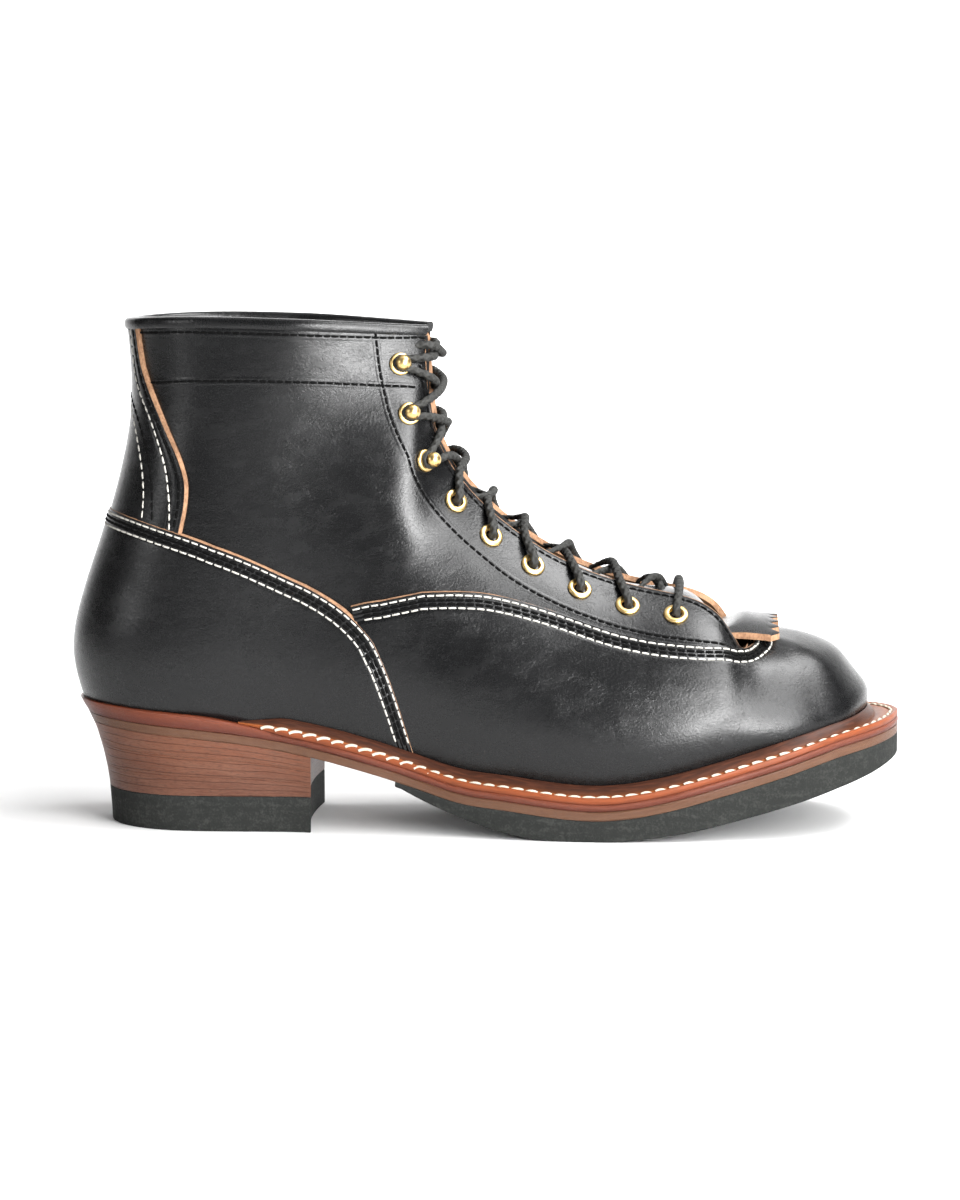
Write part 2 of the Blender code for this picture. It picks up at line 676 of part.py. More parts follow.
def kiltie_front(row, across):
    """Points of the kiltie's upper face on a row before the facings."""
    middle = SECTIONS[-1].swing * BALL_WIDTH / 2
    return [
        np.array([
            along(row.along),
            middle + t * row.half * BALL_WIDTH,
            (row.up - row.drop * abs(t) ** 1.8) * TOE_HEIGHT,
        ])
        for t in across
    ]


def make_kiltie(leather):
    """The false tongue under the lace. Its pinked front comes out over the vamp."""
    across = np.linspace(-1, 1, 2 * KILTIE_TEETH + 1)
    depth = WALL + TONGUE_CLEARANCE + 2 * GAP
    outer, inner = [], []
    for row in range(KILTIE_FIRST_ROW, KILTIE_LAST_ROW + 1, 2):
        reach = 0.35 if row < KILTIE_LAST_ROW else 0.10
        outer.append(opening_section(row, depth, reach, across)[0])
        inner.append(opening_section(row, depth + KILTIE_THICKNESS, reach, across)[0])
    down = np.array([0, 0, KILTIE_THICKNESS])
    for row in KILTIE_ROWS:
        outer.append(kiltie_front(row, across))
        inner.append([p - down for p in outer[-1]])
    root = Kiltie(*(a + 0.25 * (b - a) for a, b in zip(KILTIE_ROWS[-1], KILTIE_END)))
    roots, tips = kiltie_front(root, across), kiltie_front(KILTIE_END, across)
    outer.append([tips[i] if i % 2 else roots[i] for i in range(len(across))])
    inner.append([p - down for p in outer[-1]])
    loft("kiltie", leather, outer, inner)


def tube_mesh(name, points, radius, sides=6):
    """A round cord along points, with flat ends."""
    points = [Vector(p) for p in points]
    rings = []
    for i, point in enumerate(points):
        ahead = points[min(i + 1, len(points) - 1)] - points[max(i - 1, 0)]
        across = ahead.cross(Vector((0, 0, 1))).normalized()
        over = across.cross(ahead).normalized()
        rings.append([
            point + radius * (math.cos(a) * across + math.sin(a) * over)
            for a in (2 * math.pi * k / sides for k in range(sides))
        ])
    return sweep_mesh(name, rings)


def top_depth(row):
    """How deep below the facings' skin the top of tongue or kiltie lies."""
    return WALL + TONGUE_CLEARANCE if row >= KILTIE_FIRST_ROW - 0.6 else tongue_depth(row)


def lace_path(start, start_reach, end_row, side):
    """A cord from beside a hole on one facing, over its edge and across to the other facing's edge.
    With no reach from the hole it comes from under the facing."""
    edge_at, edge_height = facing_row(start.row)[:2]
    clear = LACE_RADIUS + LACE_CLEARANCE
    eye = form(side * start.at, start.up)
    brink = form(side * edge_at, edge_height)
    share = start_reach / np.linalg.norm(brink - eye)
    points = []
    for part in (share, (1 + share) / 2, 1.0):
        at = start.at + (edge_at - start.at) * part
        up = start.up + (edge_height - start.up) * part
        points.append(lifted(side * at, up, clear))
    for t in (0.30, 0.12, -0.12, -0.30):
        row = start.row + (end_row - start.row) * (0.5 - t)
        place, rise = opening_section(row, top_depth(row), 0.35, [-side * t])
        points.append(place[0] + rise * clear)
    if start_reach == 0:
        points = points[3:]
    return Spline(np.arange(len(points)), points)(np.linspace(0, len(points) - 1, 7))


def make_lace(cord):
    """The crossings of the lace over the opening, each one joined solid, and the bar at the toe end."""
    beside = {True: EYELET_RADIUS + LACE_RADIUS / 2, False: HOOK_BASE_RADIUS + LACE_RADIUS / 2}
    stops = [(e, True) for e in EYELETS] + [(h, False) for h in HOOKS]
    for i in range(len(stops) - 1):
        name = f"lace_crossing_{i + 1}"
        (start, eyelet), (end, _) = stops[i], stops[i + 1]
        arms = [
            tube_mesh(name, lace_path(start, beside[eyelet] if i else 0, end.row, side), LACE_RADIUS)
            for side in (1, -1)
        ]
        obj = new_object(name, arms[0], cord)
        add_boolean(obj, bpy.data.objects.new(name + "_arm", arms[1]), "UNION")
    near = lace_path(EYELETS[0], beside[True], EYELETS[0].row, 1)
    far = lace_path(EYELETS[0], beside[True], EYELETS[0].row, -1)
    bar = list(near[:5]) + list(far[4::-1])
    new_object("lace_bar", tube_mesh("lace_bar", bar, LACE_RADIUS), cord)


# Brass eyelets and hooks


def brass_places(rows, lift=0.0):
    """Matrices at each place, both sides, with the local +Z out of the skin."""
    places = []
    for row in rows:
        for side in (1, -1):
            point = lifted(side * row.at, row.up, lift)
            normal = Vector(form_normal(side * row.at, row.up))
            turn = normal.to_track_quat("Z", "Y").to_matrix().to_4x4()
            places.append(Matrix.Translation(Vector(point)) @ turn)
    return places


def lathe(name, profile, place, segments, metal):
    """A turned piece: its profile, as (radius, height) pairs, screwed round its own axis."""
    mesh = bpy.data.meshes.new(name)
    edges = [(i, i + 1) for i in range(len(profile) - 1)]
    if profile[0][0] > 0:
        edges.append((len(profile) - 1, 0))
    mesh.from_pydata([(radius, 0, height) for radius, height in profile], edges, [])
    obj = bpy.data.objects.new(name, mesh)
    obj.data.materials.append(metal)
    BOOT.objects.link(obj)
    screw = obj.modifiers.new("turn", "SCREW")
    screw.axis = "Z"
    screw.steps = segments
    screw.render_steps = segments
    screw.use_merge_vertices = True
    screw.merge_threshold = 1e-5
    screw.use_smooth_shade = True
    obj.matrix_world = place
    return obj


def make_brass(brass):
    """Six eyelets and three ball hooks on each facing."""
    depth = WALL + EYELET_LIFT
    eyelet = [
        (EYELET_HOLE_RADIUS, EYELET_FLANGE * 0.5),
        (EYELET_HOLE_RADIUS + 0.0007, EYELET_FLANGE),
        (EYELET_RADIUS - 0.0006, EYELET_FLANGE),
        (EYELET_RADIUS, EYELET_FLANGE * 0.3),
        (EYELET_RADIUS, 0.0),
        (EYELET_BARREL_RADIUS, 0.0),
        (EYELET_BARREL_RADIUS, -depth),
        (EYELET_HOLE_RADIUS, -depth),
    ]
    for i, place in enumerate(brass_places(EYELETS, EYELET_LIFT)):
        lathe(f"eyelet_{('outer', 'inner')[i % 2]}_{i // 2 + 1}", eyelet, place, 10, brass)
    ball = HOOK_HEIGHT - HOOK_HEAD_RADIUS
    hook = [
        (0.0, HOOK_HEIGHT),
        (HOOK_HEAD_RADIUS * 0.71, ball + HOOK_HEAD_RADIUS * 0.71),
        (HOOK_HEAD_RADIUS, ball),
        (HOOK_HEAD_RADIUS * 0.71, ball - HOOK_HEAD_RADIUS * 0.71),
        (HOOK_NECK_RADIUS, ball - HOOK_HEAD_RADIUS * 0.85),
        (HOOK_NECK_RADIUS, HOOK_BASE_THICKNESS),
        (HOOK_BASE_RADIUS * 0.88, HOOK_BASE_THICKNESS),
        (HOOK_BASE_RADIUS, HOOK_BASE_THICKNESS * 0.3),
        (HOOK_BASE_RADIUS, 0.0),
        (0.0, 0.0),
    ]
    for i, place in enumerate(brass_places(HOOKS, HOOK_LIFT)):
        lathe(f"hook_{('outer', 'inner')[i % 2]}_{i // 2 + 1}", hook, place, 10, brass)


# Sole, heel and welt


def sole_outline():
    """The sole's edge and the feather line in plan, dense, from the inner side round to the outer."""
    stations = np.linspace(-TIP, TIP, 641)
    feather = np.array([form(s, 0.0)[:2] for s in stations])
    ahead = np.gradient(feather, axis=0)
    ahead[0] = ahead[-1] = ahead[0] + ahead[-1]
    normal = np.stack([ahead[:, 1], -ahead[:, 0]], 1)
    normal /= np.linalg.norm(normal, axis=1, keepdims=True)
    shares = np.interp(np.abs(stations), [r.station for r in SOLE_REACH], [r.share for r in SOLE_REACH])
    return stations, feather + normal * (shares * WELT_REACH)[:, None], feather, normal


OUTLINE_STATIONS, OUTLINE, FEATHER, FEATHER_NORMAL = sole_outline()


def plan(ring, xs):
    """The outer and inner y of a closed plan ring at each x."""
    ring = np.roll(ring[:-1], -ring[:-1, 0].argmin(), axis=0)
    last = ring[:, 0].argmax()
    one, other = ring[: last + 1], np.vstack([ring[last:], ring[:1]])[::-1]
    sides = [np.interp(xs, side[:, 0], side[:, 1]) for side in (one, other)]
    return np.minimum(*sides), np.maximum(*sides)


def spread(ring, first, last, count):
    """x places along a plan ring, closer together where it turns round its ends."""
    low, high = ring[:, 0].min(), ring[:, 0].max()
    share = np.linspace(0, 1, count)
    share = 0.6 * (1 - np.cos(math.pi * share)) / 2 + 0.4 * share
    share = np.append(share, [0.0004, 0.003, 0.997, 0.9996])
    xs = low + (high - low) * np.sort(share)
    inside = xs[(xs > first + 0.002) & (xs < last - 0.002)]
    ends = [max(first, low)], [min(last, high)]
    if first < low:
        inside = xs[(xs > low) & (xs < last - 0.002)]
    if last > high:
        inside = np.append(inside, xs[(xs >= last - 0.002) & (xs < high)])
    return np.unique(np.concatenate([ends[0], inside[(inside > ends[0][0])], ends[1]]))


def undercut(point):
    """Draws a point of the heel in as its rear and side walls do."""
    x, y, z = point
    share = min(max((HEEL_BREAST - x) / (HEEL_BREAST - HEEL_REAR), 0.0), 1.0)
    drawn = float(np.interp(z / SEAT_HEIGHT, [u.up for u in UNDERCUTS], [u.in_ for u in UNDERCUTS]))
    x += HEEL_UNDERCUT * drawn * share**1.5
    y *= 1 - 2 * HEEL_TAPER / HEEL_WIDTH * drawn * min(1.0, 2 * share)
    return (x, y, z)


def slab(name, material, ring, xs, top, bottom, across=(-1, 1), shape=None):
    """A layer of the sole with this plan ring, between two heights that depend on x."""
    low, high = plan(ring, xs)

    def place(key, height):
        i, t = key
        y = (low[i] + high[i]) / 2 + t * (high[i] - low[i]) / 2
        point = (xs[i], y, float(height(xs[i])))
        return np.array(shape(point) if shape else point)

    lattice = []
    for i in range(len(xs)):
        narrow = high[i] - low[i] < 1e-4
        lattice.append([(i, 0 if narrow else t) for t in across])
    mesh = shell_mesh(name, lattice, lambda k: place(k, top), lambda k: place(k, bottom))
    return new_object(name, mesh, material)


def make_soles(leather, rubber):
    """Midsole, slip sole, rubber tread and insole."""
    whole = spread(OUTLINE, -1, 1, 37)
    slab("midsole", leather, OUTLINE, whole, midsole_top, midsole_bottom, shape=undercut)
    slab("slip_sole", leather, OUTLINE, whole, slip_top, slip_bottom, shape=undercut)
    start = along(TREAD_LINE[0].along)
    slab("tread", rubber, OUTLINE, spread(OUTLINE, start, 1, 37), tread_top, tread_bottom)
    inside = FEATHER - FEATHER_NORMAL * (WALL + 3 * FOOT_GAP)
    slab(
        "insole", leather, inside, spread(inside, -1, 1, 33),
        lambda x: midsole_top(x) + FOOT_GAP + INSOLE_THICKNESS, lambda x: midsole_top(x) + FOOT_GAP,
    )


def make_heel(leather, rubber):
    """The stacked lifts and the rubber top lift. Their front wall is slightly hollow."""
    xs = spread(OUTLINE, -1, HEEL_BREAST, 37)

    def shape(point):
        x, y, z = undercut(point)
        share = min(max(1 - (HEEL_BREAST - point[0]) / 0.012, 0.0), 1.0)
        return (x - BREAST_HOLLOW * share * max(1 - (2 * y / HEEL_WIDTH) ** 2, 0.0), y, z)

    def height(x, share):
        return TOP_LIFT_THICKNESS + (slip_bottom(x) - TOP_LIFT_THICKNESS) * share

    across = (-1, 0, 1)
    slab("top_lift", rubber, OUTLINE, xs, lambda x: TOP_LIFT_THICKNESS, lambda x: 0.0, across, shape)
    for i in range(LIFT_COUNT):
        slab(
            f"lift_{i + 1}", leather, OUTLINE, xs,
            lambda x, s=(i + 1) / LIFT_COUNT: height(x, s) - (GAP if s == 1 else 0),
            lambda x, s=i / LIFT_COUNT: height(x, s) + GAP,
            across, shape,
        )


def make_welt(leather):
    """The storm welt: a flat strip with a raised bead against the upper, from before the heel on one
    side round the toe to the other."""
    rings = []
    first = 3.2
    for station in columns_between(first, ROUND - first):
        i = np.abs(OUTLINE_STATIONS - (station if station <= TIP else station - ROUND)).argmin()
        edge, outward = OUTLINE[i], FEATHER_NORMAL[i]
        line = np.array([lifted(station, up, OVERLAY + 3 * GAP) for up in ROWS[:4]])
        heights = np.maximum.accumulate(line[:, 2] - line[0][2]) + np.arange(4) * 1e-6
        climb = WELT_THICKNESS + BEAD_HEIGHT
        foot, crest = line[0], np.array([np.interp(climb, heights, line[:, k]) for k in range(3)])
        low = line[1] if heights[1] < 0.9 * climb else (2 * foot + crest) / 3
        high = line[2] if heights[2] < 0.95 * climb else (low + crest) / 2
        brow = crest + np.array([*(outward * BEAD_WIDTH * 0.55), -BEAD_HEIGHT * 0.15])
        bead = np.array([*(crest[:2] + outward * BEAD_WIDTH), foot[2] + WELT_THICKNESS])
        rim = crest[:2] + outward * max((edge - crest[:2]) @ outward, BEAD_WIDTH + 0.0008)
        base = float(midsole_top(rim[0])) + FOOT_GAP
        rings.append([foot, low, high, crest, brow, bead, [*rim, base + WELT_THICKNESS], [*rim, base]])
    new_object("welt", sweep_mesh("welt", rings), leather)


clear_scene()
BOOT = new_collection("logger_boot")
CUTTERS = new_collection("cutters")
black = make_material("black_leather", (0.02, 0.02, 0.022), 0.4)
sole_leather = make_material("sole_leather", (0.25, 0.09, 0.045), 0.45)
heel_leather = make_material("heel_leather", (0.24, 0.11, 0.07), 0.5)
black_rubber = make_material("black_rubber", (0.04, 0.04, 0.04), 0.8)
metal = make_material("brass", (0.80, 0.55, 0.20), 0.3, 1.0)
black_cord = make_material("black_cord", (0.015, 0.015, 0.015), 0.8)

make_upper(black)
make_overlays(black)
make_binding(black)
make_tongue(black)
make_kiltie(black)
make_lace(black_cord)
make_brass(metal)
make_soles(sole_leather, black_rubber)
make_heel(heel_leather, black_rubber)
make_welt(sole_leather)
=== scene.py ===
# %% [markdown]
# # A logger boot, leather on leather
#
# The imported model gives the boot's true sizes as plain solids. This lesson dresses it: every leather
# panel is laid on one mathematical skin, so that a vamp, a stitch and an eyelet all agree on where the
# last is. The solids could be subdivided instead, but their triangles would show as dents in polish.

# %% Load the frame
import math

import bmesh
import bpy
import numpy as np
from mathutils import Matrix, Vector


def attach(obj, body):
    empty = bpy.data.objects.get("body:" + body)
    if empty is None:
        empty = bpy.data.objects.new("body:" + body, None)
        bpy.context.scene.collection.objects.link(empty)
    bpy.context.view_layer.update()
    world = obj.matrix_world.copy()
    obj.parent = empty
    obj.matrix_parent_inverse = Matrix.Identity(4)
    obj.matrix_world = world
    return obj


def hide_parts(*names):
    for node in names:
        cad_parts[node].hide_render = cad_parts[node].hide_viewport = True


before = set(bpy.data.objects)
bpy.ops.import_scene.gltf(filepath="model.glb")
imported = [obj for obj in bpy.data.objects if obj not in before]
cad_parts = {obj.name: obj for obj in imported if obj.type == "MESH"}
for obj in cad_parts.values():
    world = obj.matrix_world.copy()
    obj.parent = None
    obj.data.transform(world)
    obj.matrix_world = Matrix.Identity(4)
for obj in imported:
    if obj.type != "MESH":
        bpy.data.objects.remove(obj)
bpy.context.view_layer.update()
MM = 0.001

# %% [markdown]
# ## Small helpers
#
# Many steps below need the same few sums: directions of length 1, the way along a line, a
# value read off a table. They are written once here, so that each step names what it does.


# %% Helpers for lines and tables
def unit(vectors):
    """The same directions with length 1."""
    return vectors / np.linalg.norm(vectors, axis=-1, keepdims=True)


def ways(points):
    """How far along a line of points each point lies."""
    return np.concatenate([[0], np.cumsum(np.linalg.norm(np.diff(points, axis=0), axis=1))])


def read_line(where, way, points):
    """Points read off a line at these distances along it."""
    return np.stack([np.interp(where, way, column) for column in points.T], 1)


def read_table(table, where):
    """The second column of a table, read at places in its first."""
    table = np.array([row[:2] for row in table], float)
    return np.interp(where, table[:, 0], table[:, 1])


def bell(sigma, step):
    """Weights that smooth a row of values over sigma, and how many of them lie on each side."""
    reach = int(3 * sigma / step)
    weights = np.exp(-0.5 * (np.arange(-reach, reach + 1) * step / sigma) ** 2)
    return weights / weights.sum(), reach


def dimmed(color, share):
    return tuple(c * share for c in color)

# %% [markdown]
# ## The last
#
# A bootmaker pulls flat leather over a last. Ours is a table of sections from the heel to the toe, each
# with seven widths from the sole up. Lengths are shares of a few real sizes, and a smooth curve runs
# through them both ways. The numbers are those of the solids, so that what is made here fits them.

# %% Sizes of the last and the leathers, in metres
SOLE_LENGTH = 0.304
BALL_WIDTH = 0.108
HEEL_WIDTH = 0.073
SHAFT_HEIGHT = 0.187
INSTEP_HEIGHT = 0.100
TOE_HEIGHT = 0.0680
SEAT_HEIGHT = 0.0460
TREAD_LENGTH = 0.077
HEEL_UNDERCUT = 0.0117
HEEL_TAPER = 0.0018
BREAST_HOLLOW = 0.0025
WELT_REACH = 0.0110
WALL = 0.0024
OVERLAY = 0.0023
TONGUE_THICKNESS = 0.0022
KILTIE_THICKNESS = 0.0024
WELT_THICKNESS = 0.0024
MIDSOLE_THICKNESS = 0.0026
SLIP_SOLE_THICKNESS = 0.0030
INSOLE_THICKNESS = 0.0030
TREAD_LEAST = 0.0016
TOP_LIFT_THICKNESS = 0.0130
BEAD_HEIGHT = 0.0034
BEAD_WIDTH = 0.0028
GAP = 0.0003
FOOT_GAP = 0.0009
TONGUE_CLEARANCE = 0.0010
HEEL_REAR = -(TREAD_LENGTH / 2 + HEEL_UNDERCUT)
HEEL_BREAST = TREAD_LENGTH / 2

# %% Lines of the sole: share of its length, share of the seat's height
SEAT_LINE = [
    (0.000, 1.000), (0.100, 0.953), (0.200, 0.887), (0.289, 0.789), (0.378, 0.640), (0.427, 0.541),
    (0.474, 0.455), (0.523, 0.418), (0.571, 0.380), (0.643, 0.355), (0.690, 0.392), (0.770, 0.517),
    (0.854, 0.676), (0.930, 0.826), (1.000, 0.905),
]
TREAD_LINE = [
    (0.393, 0.392), (0.426, 0.280), (0.474, 0.152), (0.523, 0.055), (0.575, 0.002), (0.615, -0.010),
    (0.655, 0.002), (0.725, 0.054), (0.811, 0.174), (0.897, 0.330), (0.960, 0.465), (1.000, 0.555),
]
UNDERCUTS = [
    (0.00, 1.00), (0.11, 0.98), (0.30, 0.92), (0.42, 0.85), (0.56, 0.73), (0.75, 0.51), (0.91, 0.21),
    (1.00, 0.00),
]

# %% Levels and sections of the last
# Each level: knot, rear_up, fore_up, back, tip_along, tip_up.
LEVELS = {
    "feather": (0.00, 0.00, 0.00, 0.0110, 0.948, 0.560),
    "bulge": (0.10, 0.10, 0.17, 0.0000, 0.955, 0.675),
    "low": (0.25, 0.25, 0.40, 0.0105, 0.946, 0.772),
    "middle": (0.42, 0.42, 0.63, 0.0370, 0.928, 0.872),
    "high": (0.59, 0.59, 0.82, 0.0600, 0.905, 0.948),
    "shoulder": (0.72, 0.72, 0.93, 0.0710, 0.872, 0.985),
    "edge": (1.00, 1.00, 1.00, 0.0645, 0.814, 1.005),
}
KNOTS, REAR_UP, FORE_UP, BACK, TIP_ALONG, TIP_UP = np.array(list(LEVELS.values())).T
# Each section: foot, top, height, up, arch, width, swing, ridge, then the half width at each level.
SECTIONS = {
    "heel_side": (0.139, 0.231, SHAFT_HEIGHT, 1.021, 0.00, HEEL_WIDTH, 0.000, 0.000,
                  0.863, 0.935, 0.940, 0.926, 0.918, 0.918, 0.945),
    "breast": (0.264, 0.329, SHAFT_HEIGHT, 1.019, 0.10, HEEL_WIDTH, -0.027, 0.000,
               0.767, 0.900, 0.930, 0.926, 0.890, 0.863, 0.836),
    "collar_corner": (0.346, 0.438, SHAFT_HEIGHT, 1.005, 0.35, HEEL_WIDTH, -0.096, 0.000,
                      0.740, 0.918, 0.960, 0.918, 0.795, 0.644, 0.342),
    "hooks": (0.412, 0.440, SHAFT_HEIGHT, 0.856, 0.70, HEEL_WIDTH, -0.130, 0.000,
              0.740, 0.945, 0.986, 0.890, 0.685, 0.507, 0.233),
    "instep": (0.478, 0.478, INSTEP_HEIGHT, 1.290, 1.00, BALL_WIDTH, -0.083, 0.019,
               0.565, 0.704, 0.731, 0.639, 0.481, 0.333, 0.157),
    "lacing": (0.543, 0.534, INSTEP_HEIGHT, 1.130, 1.00, BALL_WIDTH, -0.065, 0.028,
               0.648, 0.768, 0.787, 0.676, 0.491, 0.333, 0.157),
    "ball_rear": (0.616, 0.609, INSTEP_HEIGHT, 0.995, 1.00, BALL_WIDTH, -0.037, 0.037,
                  0.731, 0.838, 0.838, 0.713, 0.509, 0.333, 0.157),
    "ball": (0.691, 0.685, INSTEP_HEIGHT, 0.915, 1.00, BALL_WIDTH, 0.000, 0.046,
             0.776, 0.875, 0.866, 0.741, 0.528, 0.343, 0.157),
    "ball_fore": (0.764, 0.757, INSTEP_HEIGHT, 0.865, 1.00, BALL_WIDTH, 0.037, 0.056,
                  0.757, 0.850, 0.838, 0.731, 0.546, 0.370, 0.167),
    "facing_end": (0.816, 0.795, TOE_HEIGHT, 1.115, 1.00, BALL_WIDTH, 0.065, 0.065,
                   0.713, 0.803, 0.790, 0.705, 0.565, 0.440, 0.300),
    "throat": (0.843, 0.812, TOE_HEIGHT, 0.985, 1.00, BALL_WIDTH, 0.074, 0.074,
               0.685, 0.776, 0.760, 0.677, 0.570, 0.460, 0.345),
}
TIP_SWING = 0.111
FAN = (0.0, 30.0, 60.0)
TIP = 2 * len(FAN) + len(SECTIONS) - 1
ROUND = 2 * TIP
print("stations from the back seam to the toe's tip:", TIP)


# %% A smooth curve through knots
class Spline:
    """A cubic through values at knots: free at its ends or, with a period, closed."""

    def __init__(self, knots, values, period=None):
        knots, values = np.asarray(knots, float), np.asarray(values, float)
        if period:
            knots = np.append(knots, knots[0] + period)
            values = np.concatenate([values, values[:1]])
        count = len(knots)
        step = np.diff(knots)
        slope = np.diff(values, axis=0) / step[(slice(None),) + (None,) * (values.ndim - 1)]
        system, right = np.zeros((count, count)), np.zeros_like(values)
        for i in range(1, count - 1):
            system[i, i - 1 : i + 2] = step[i - 1], 2 * (step[i - 1] + step[i]), step[i]
            right[i] = 6 * (slope[i] - slope[i - 1])
        system[0, 0] = system[-1, -1] = 1
        if period:
            system[0, -1] = -1
            system[-1] = 0
            system[-1, 0], system[-1, 1] = 2 * step[0], step[0]
            system[-1, -2], system[-1, -1] = step[-1], 2 * step[-1]
            right[-1] = 6 * (slope[0] - slope[-1])
        bend = np.linalg.solve(system, right.reshape(count, -1)).reshape(values.shape)
        self.knots, self.values, self.bend, self.period = knots, values, bend, period

    def __call__(self, where):
        where = np.asarray(where, float)
        if self.period:
            where = self.knots[0] + (where - self.knots[0]) % self.period
        i = np.clip(np.searchsorted(self.knots, where, side="right") - 1, 0, len(self.knots) - 2)
        step = self.knots[i + 1] - self.knots[i]
        b = (where - self.knots[i]) / step
        extra = (Ellipsis,) + (None,) * (self.values.ndim - 1)
        a, b, step = (1 - b)[extra], b[extra], step[extra]
        curved = (a**3 - a) * self.bend[i] + (b**3 - b) * self.bend[i + 1]
        return a * self.values[i] + b * self.values[i + 1] + curved * step**2 / 6


def along(share):
    return HEEL_REAR + share * SOLE_LENGTH


def height_line(table):
    return Spline([along(a) for a, _ in table], [u * SEAT_HEIGHT for _, u in table])


seat_line, tread_line = height_line(SEAT_LINE), height_line(TREAD_LINE)
WELT_START = (-0.006, 0.034)


def midsole_top(x):
    ramp = np.clip((x - WELT_START[0]) / (WELT_START[1] - WELT_START[0]), 0, 1)
    return seat_line(x) - (WELT_THICKNESS + GAP) * ramp * ramp * (3 - 2 * ramp)


def midsole_bottom(x):
    return seat_line(x) - WELT_THICKNESS - GAP - MIDSOLE_THICKNESS


def slip_bottom(x):
    return midsole_bottom(x) - GAP - SLIP_SOLE_THICKNESS


def tread_bottom(x):
    return np.minimum(np.maximum(tread_line(x), 0.0), slip_bottom(x) - GAP - TREAD_LEAST)


# %% The rings of the last, from the back seam to the tip, on both sides
def section_points(section):
    foot_at, top_at, height, up, arch, width, swing, ridge = section[:8]
    share = REAR_UP + (FORE_UP - REAR_UP) * arch
    foot, half = along(foot_at), width / 2
    low = midsole_top(foot) + FOOT_GAP
    x = foot + (along(top_at) - foot) * share
    return x, (swing + (ridge - swing) * share) * half, np.array(section[8:]) * half, low + (
        up * height - low) * share


def last_rings():
    side, throat = section_points(SECTIONS["heel_side"]), section_points(SECTIONS["throat"])
    rings = {-1: [], 1: []}

    def add(x, middle, half, z):
        for sign in rings:
            rings[sign].append(np.stack([x, middle + sign * half, z], 1))

    for angle in FAN:
        c, s = math.cos(math.radians(angle)), math.sin(math.radians(angle))
        x = side[0] - (side[0] - along(BACK)) * c
        foot = midsole_top(x[0]) + FOOT_GAP
        share = (side[3] - side[3][0]) / (side[3][-1] - side[3][0])
        add(x, side[1] * s, side[2] * s, foot + (side[3][-1] - foot) * share)
    for section in SECTIONS.values():
        add(*section_points(section))
    for angle in FAN[1:] + (90.0,):
        c, s = math.cos(math.radians(angle)), math.sin(math.radians(angle))
        x = throat[0] + (along(TIP_ALONG) - throat[0]) * s
        z = throat[3] + (TIP_UP * TOE_HEIGHT - throat[3]) * s * s
        z[0] = midsole_top(x[0]) + FOOT_GAP
        add(x, throat[1] + (TIP_SWING * BALL_WIDTH / 2 - throat[1]) * s, throat[2] * c, z)
    return np.array(rings[-1]), np.array(rings[1])


OUTER_RINGS, INNER_RINGS = last_rings()
CHORDS = sum(np.linalg.norm(np.diff(r, axis=0), axis=2).mean(1) for r in (OUTER_RINGS, INNER_RINGS)) / 2
STATION_WAY = np.concatenate([[0.0], np.cumsum(np.concatenate([CHORDS, CHORDS[::-1]]))])
RING_SPLINE = Spline(
    STATION_WAY[:-1], np.concatenate([OUTER_RINGS, INNER_RINGS[-2:0:-1]]), period=STATION_WAY[-1]
)
print("girth round the rings: %.0f mm" % (STATION_WAY[-1] / MM))

# %% [markdown]
# ## The skin
#
# A place on the leather is a pair: the station round the boot, and the share of the way up from the
# sole. The skin is worked out once on a fine grid and read between its points, which makes thousands of
# look-ups quick. Creases belong here and not in each panel: a dent then passes through vamp, thread and
# eyelet alike. They are few, because the boot is new: soft troughs where the ankle has been flexed.

# %% Creases, given one by one
# Each: station and height share of its two ends, half width in mm, depth in mm (negative is a ridge).
CREASES = [
    (5.6, 0.40, 3.6, 0.62, 6.0, 0.55),
    (5.2, 0.47, 3.7, 0.70, 5.0, -0.35),
    (4.9, 0.52, 3.2, 0.78, 8.0, 0.40),
    (3.3, 0.50, 2.9, 0.72, 9.0, 0.35),
    (7.4, 0.30, 6.0, 0.24, 7.0, 0.45),
    (8.6, 0.20, 6.9, 0.17, 8.0, 0.40),
    (10.0, 0.33, 8.6, 0.36, 6.0, -0.30),
    (11.4, 0.28, 9.6, 0.20, 9.0, 0.35),
    (2.2, 0.22, 1.2, 0.36, 8.0, 0.30),
    (TIP, 0.78, TIP, 0.78, 15.0, -0.65),
]
STATION_STEP, UP_STEP = 0.05, 0.005
EXTRA = 20
EASED_PART, EASED_OVER = (11.4, 14.8), 0.55


def from_seam(station):
    """Stations counted from the back seam, on either side."""
    return np.abs((np.asarray(station, float) + TIP) % ROUND - TIP)


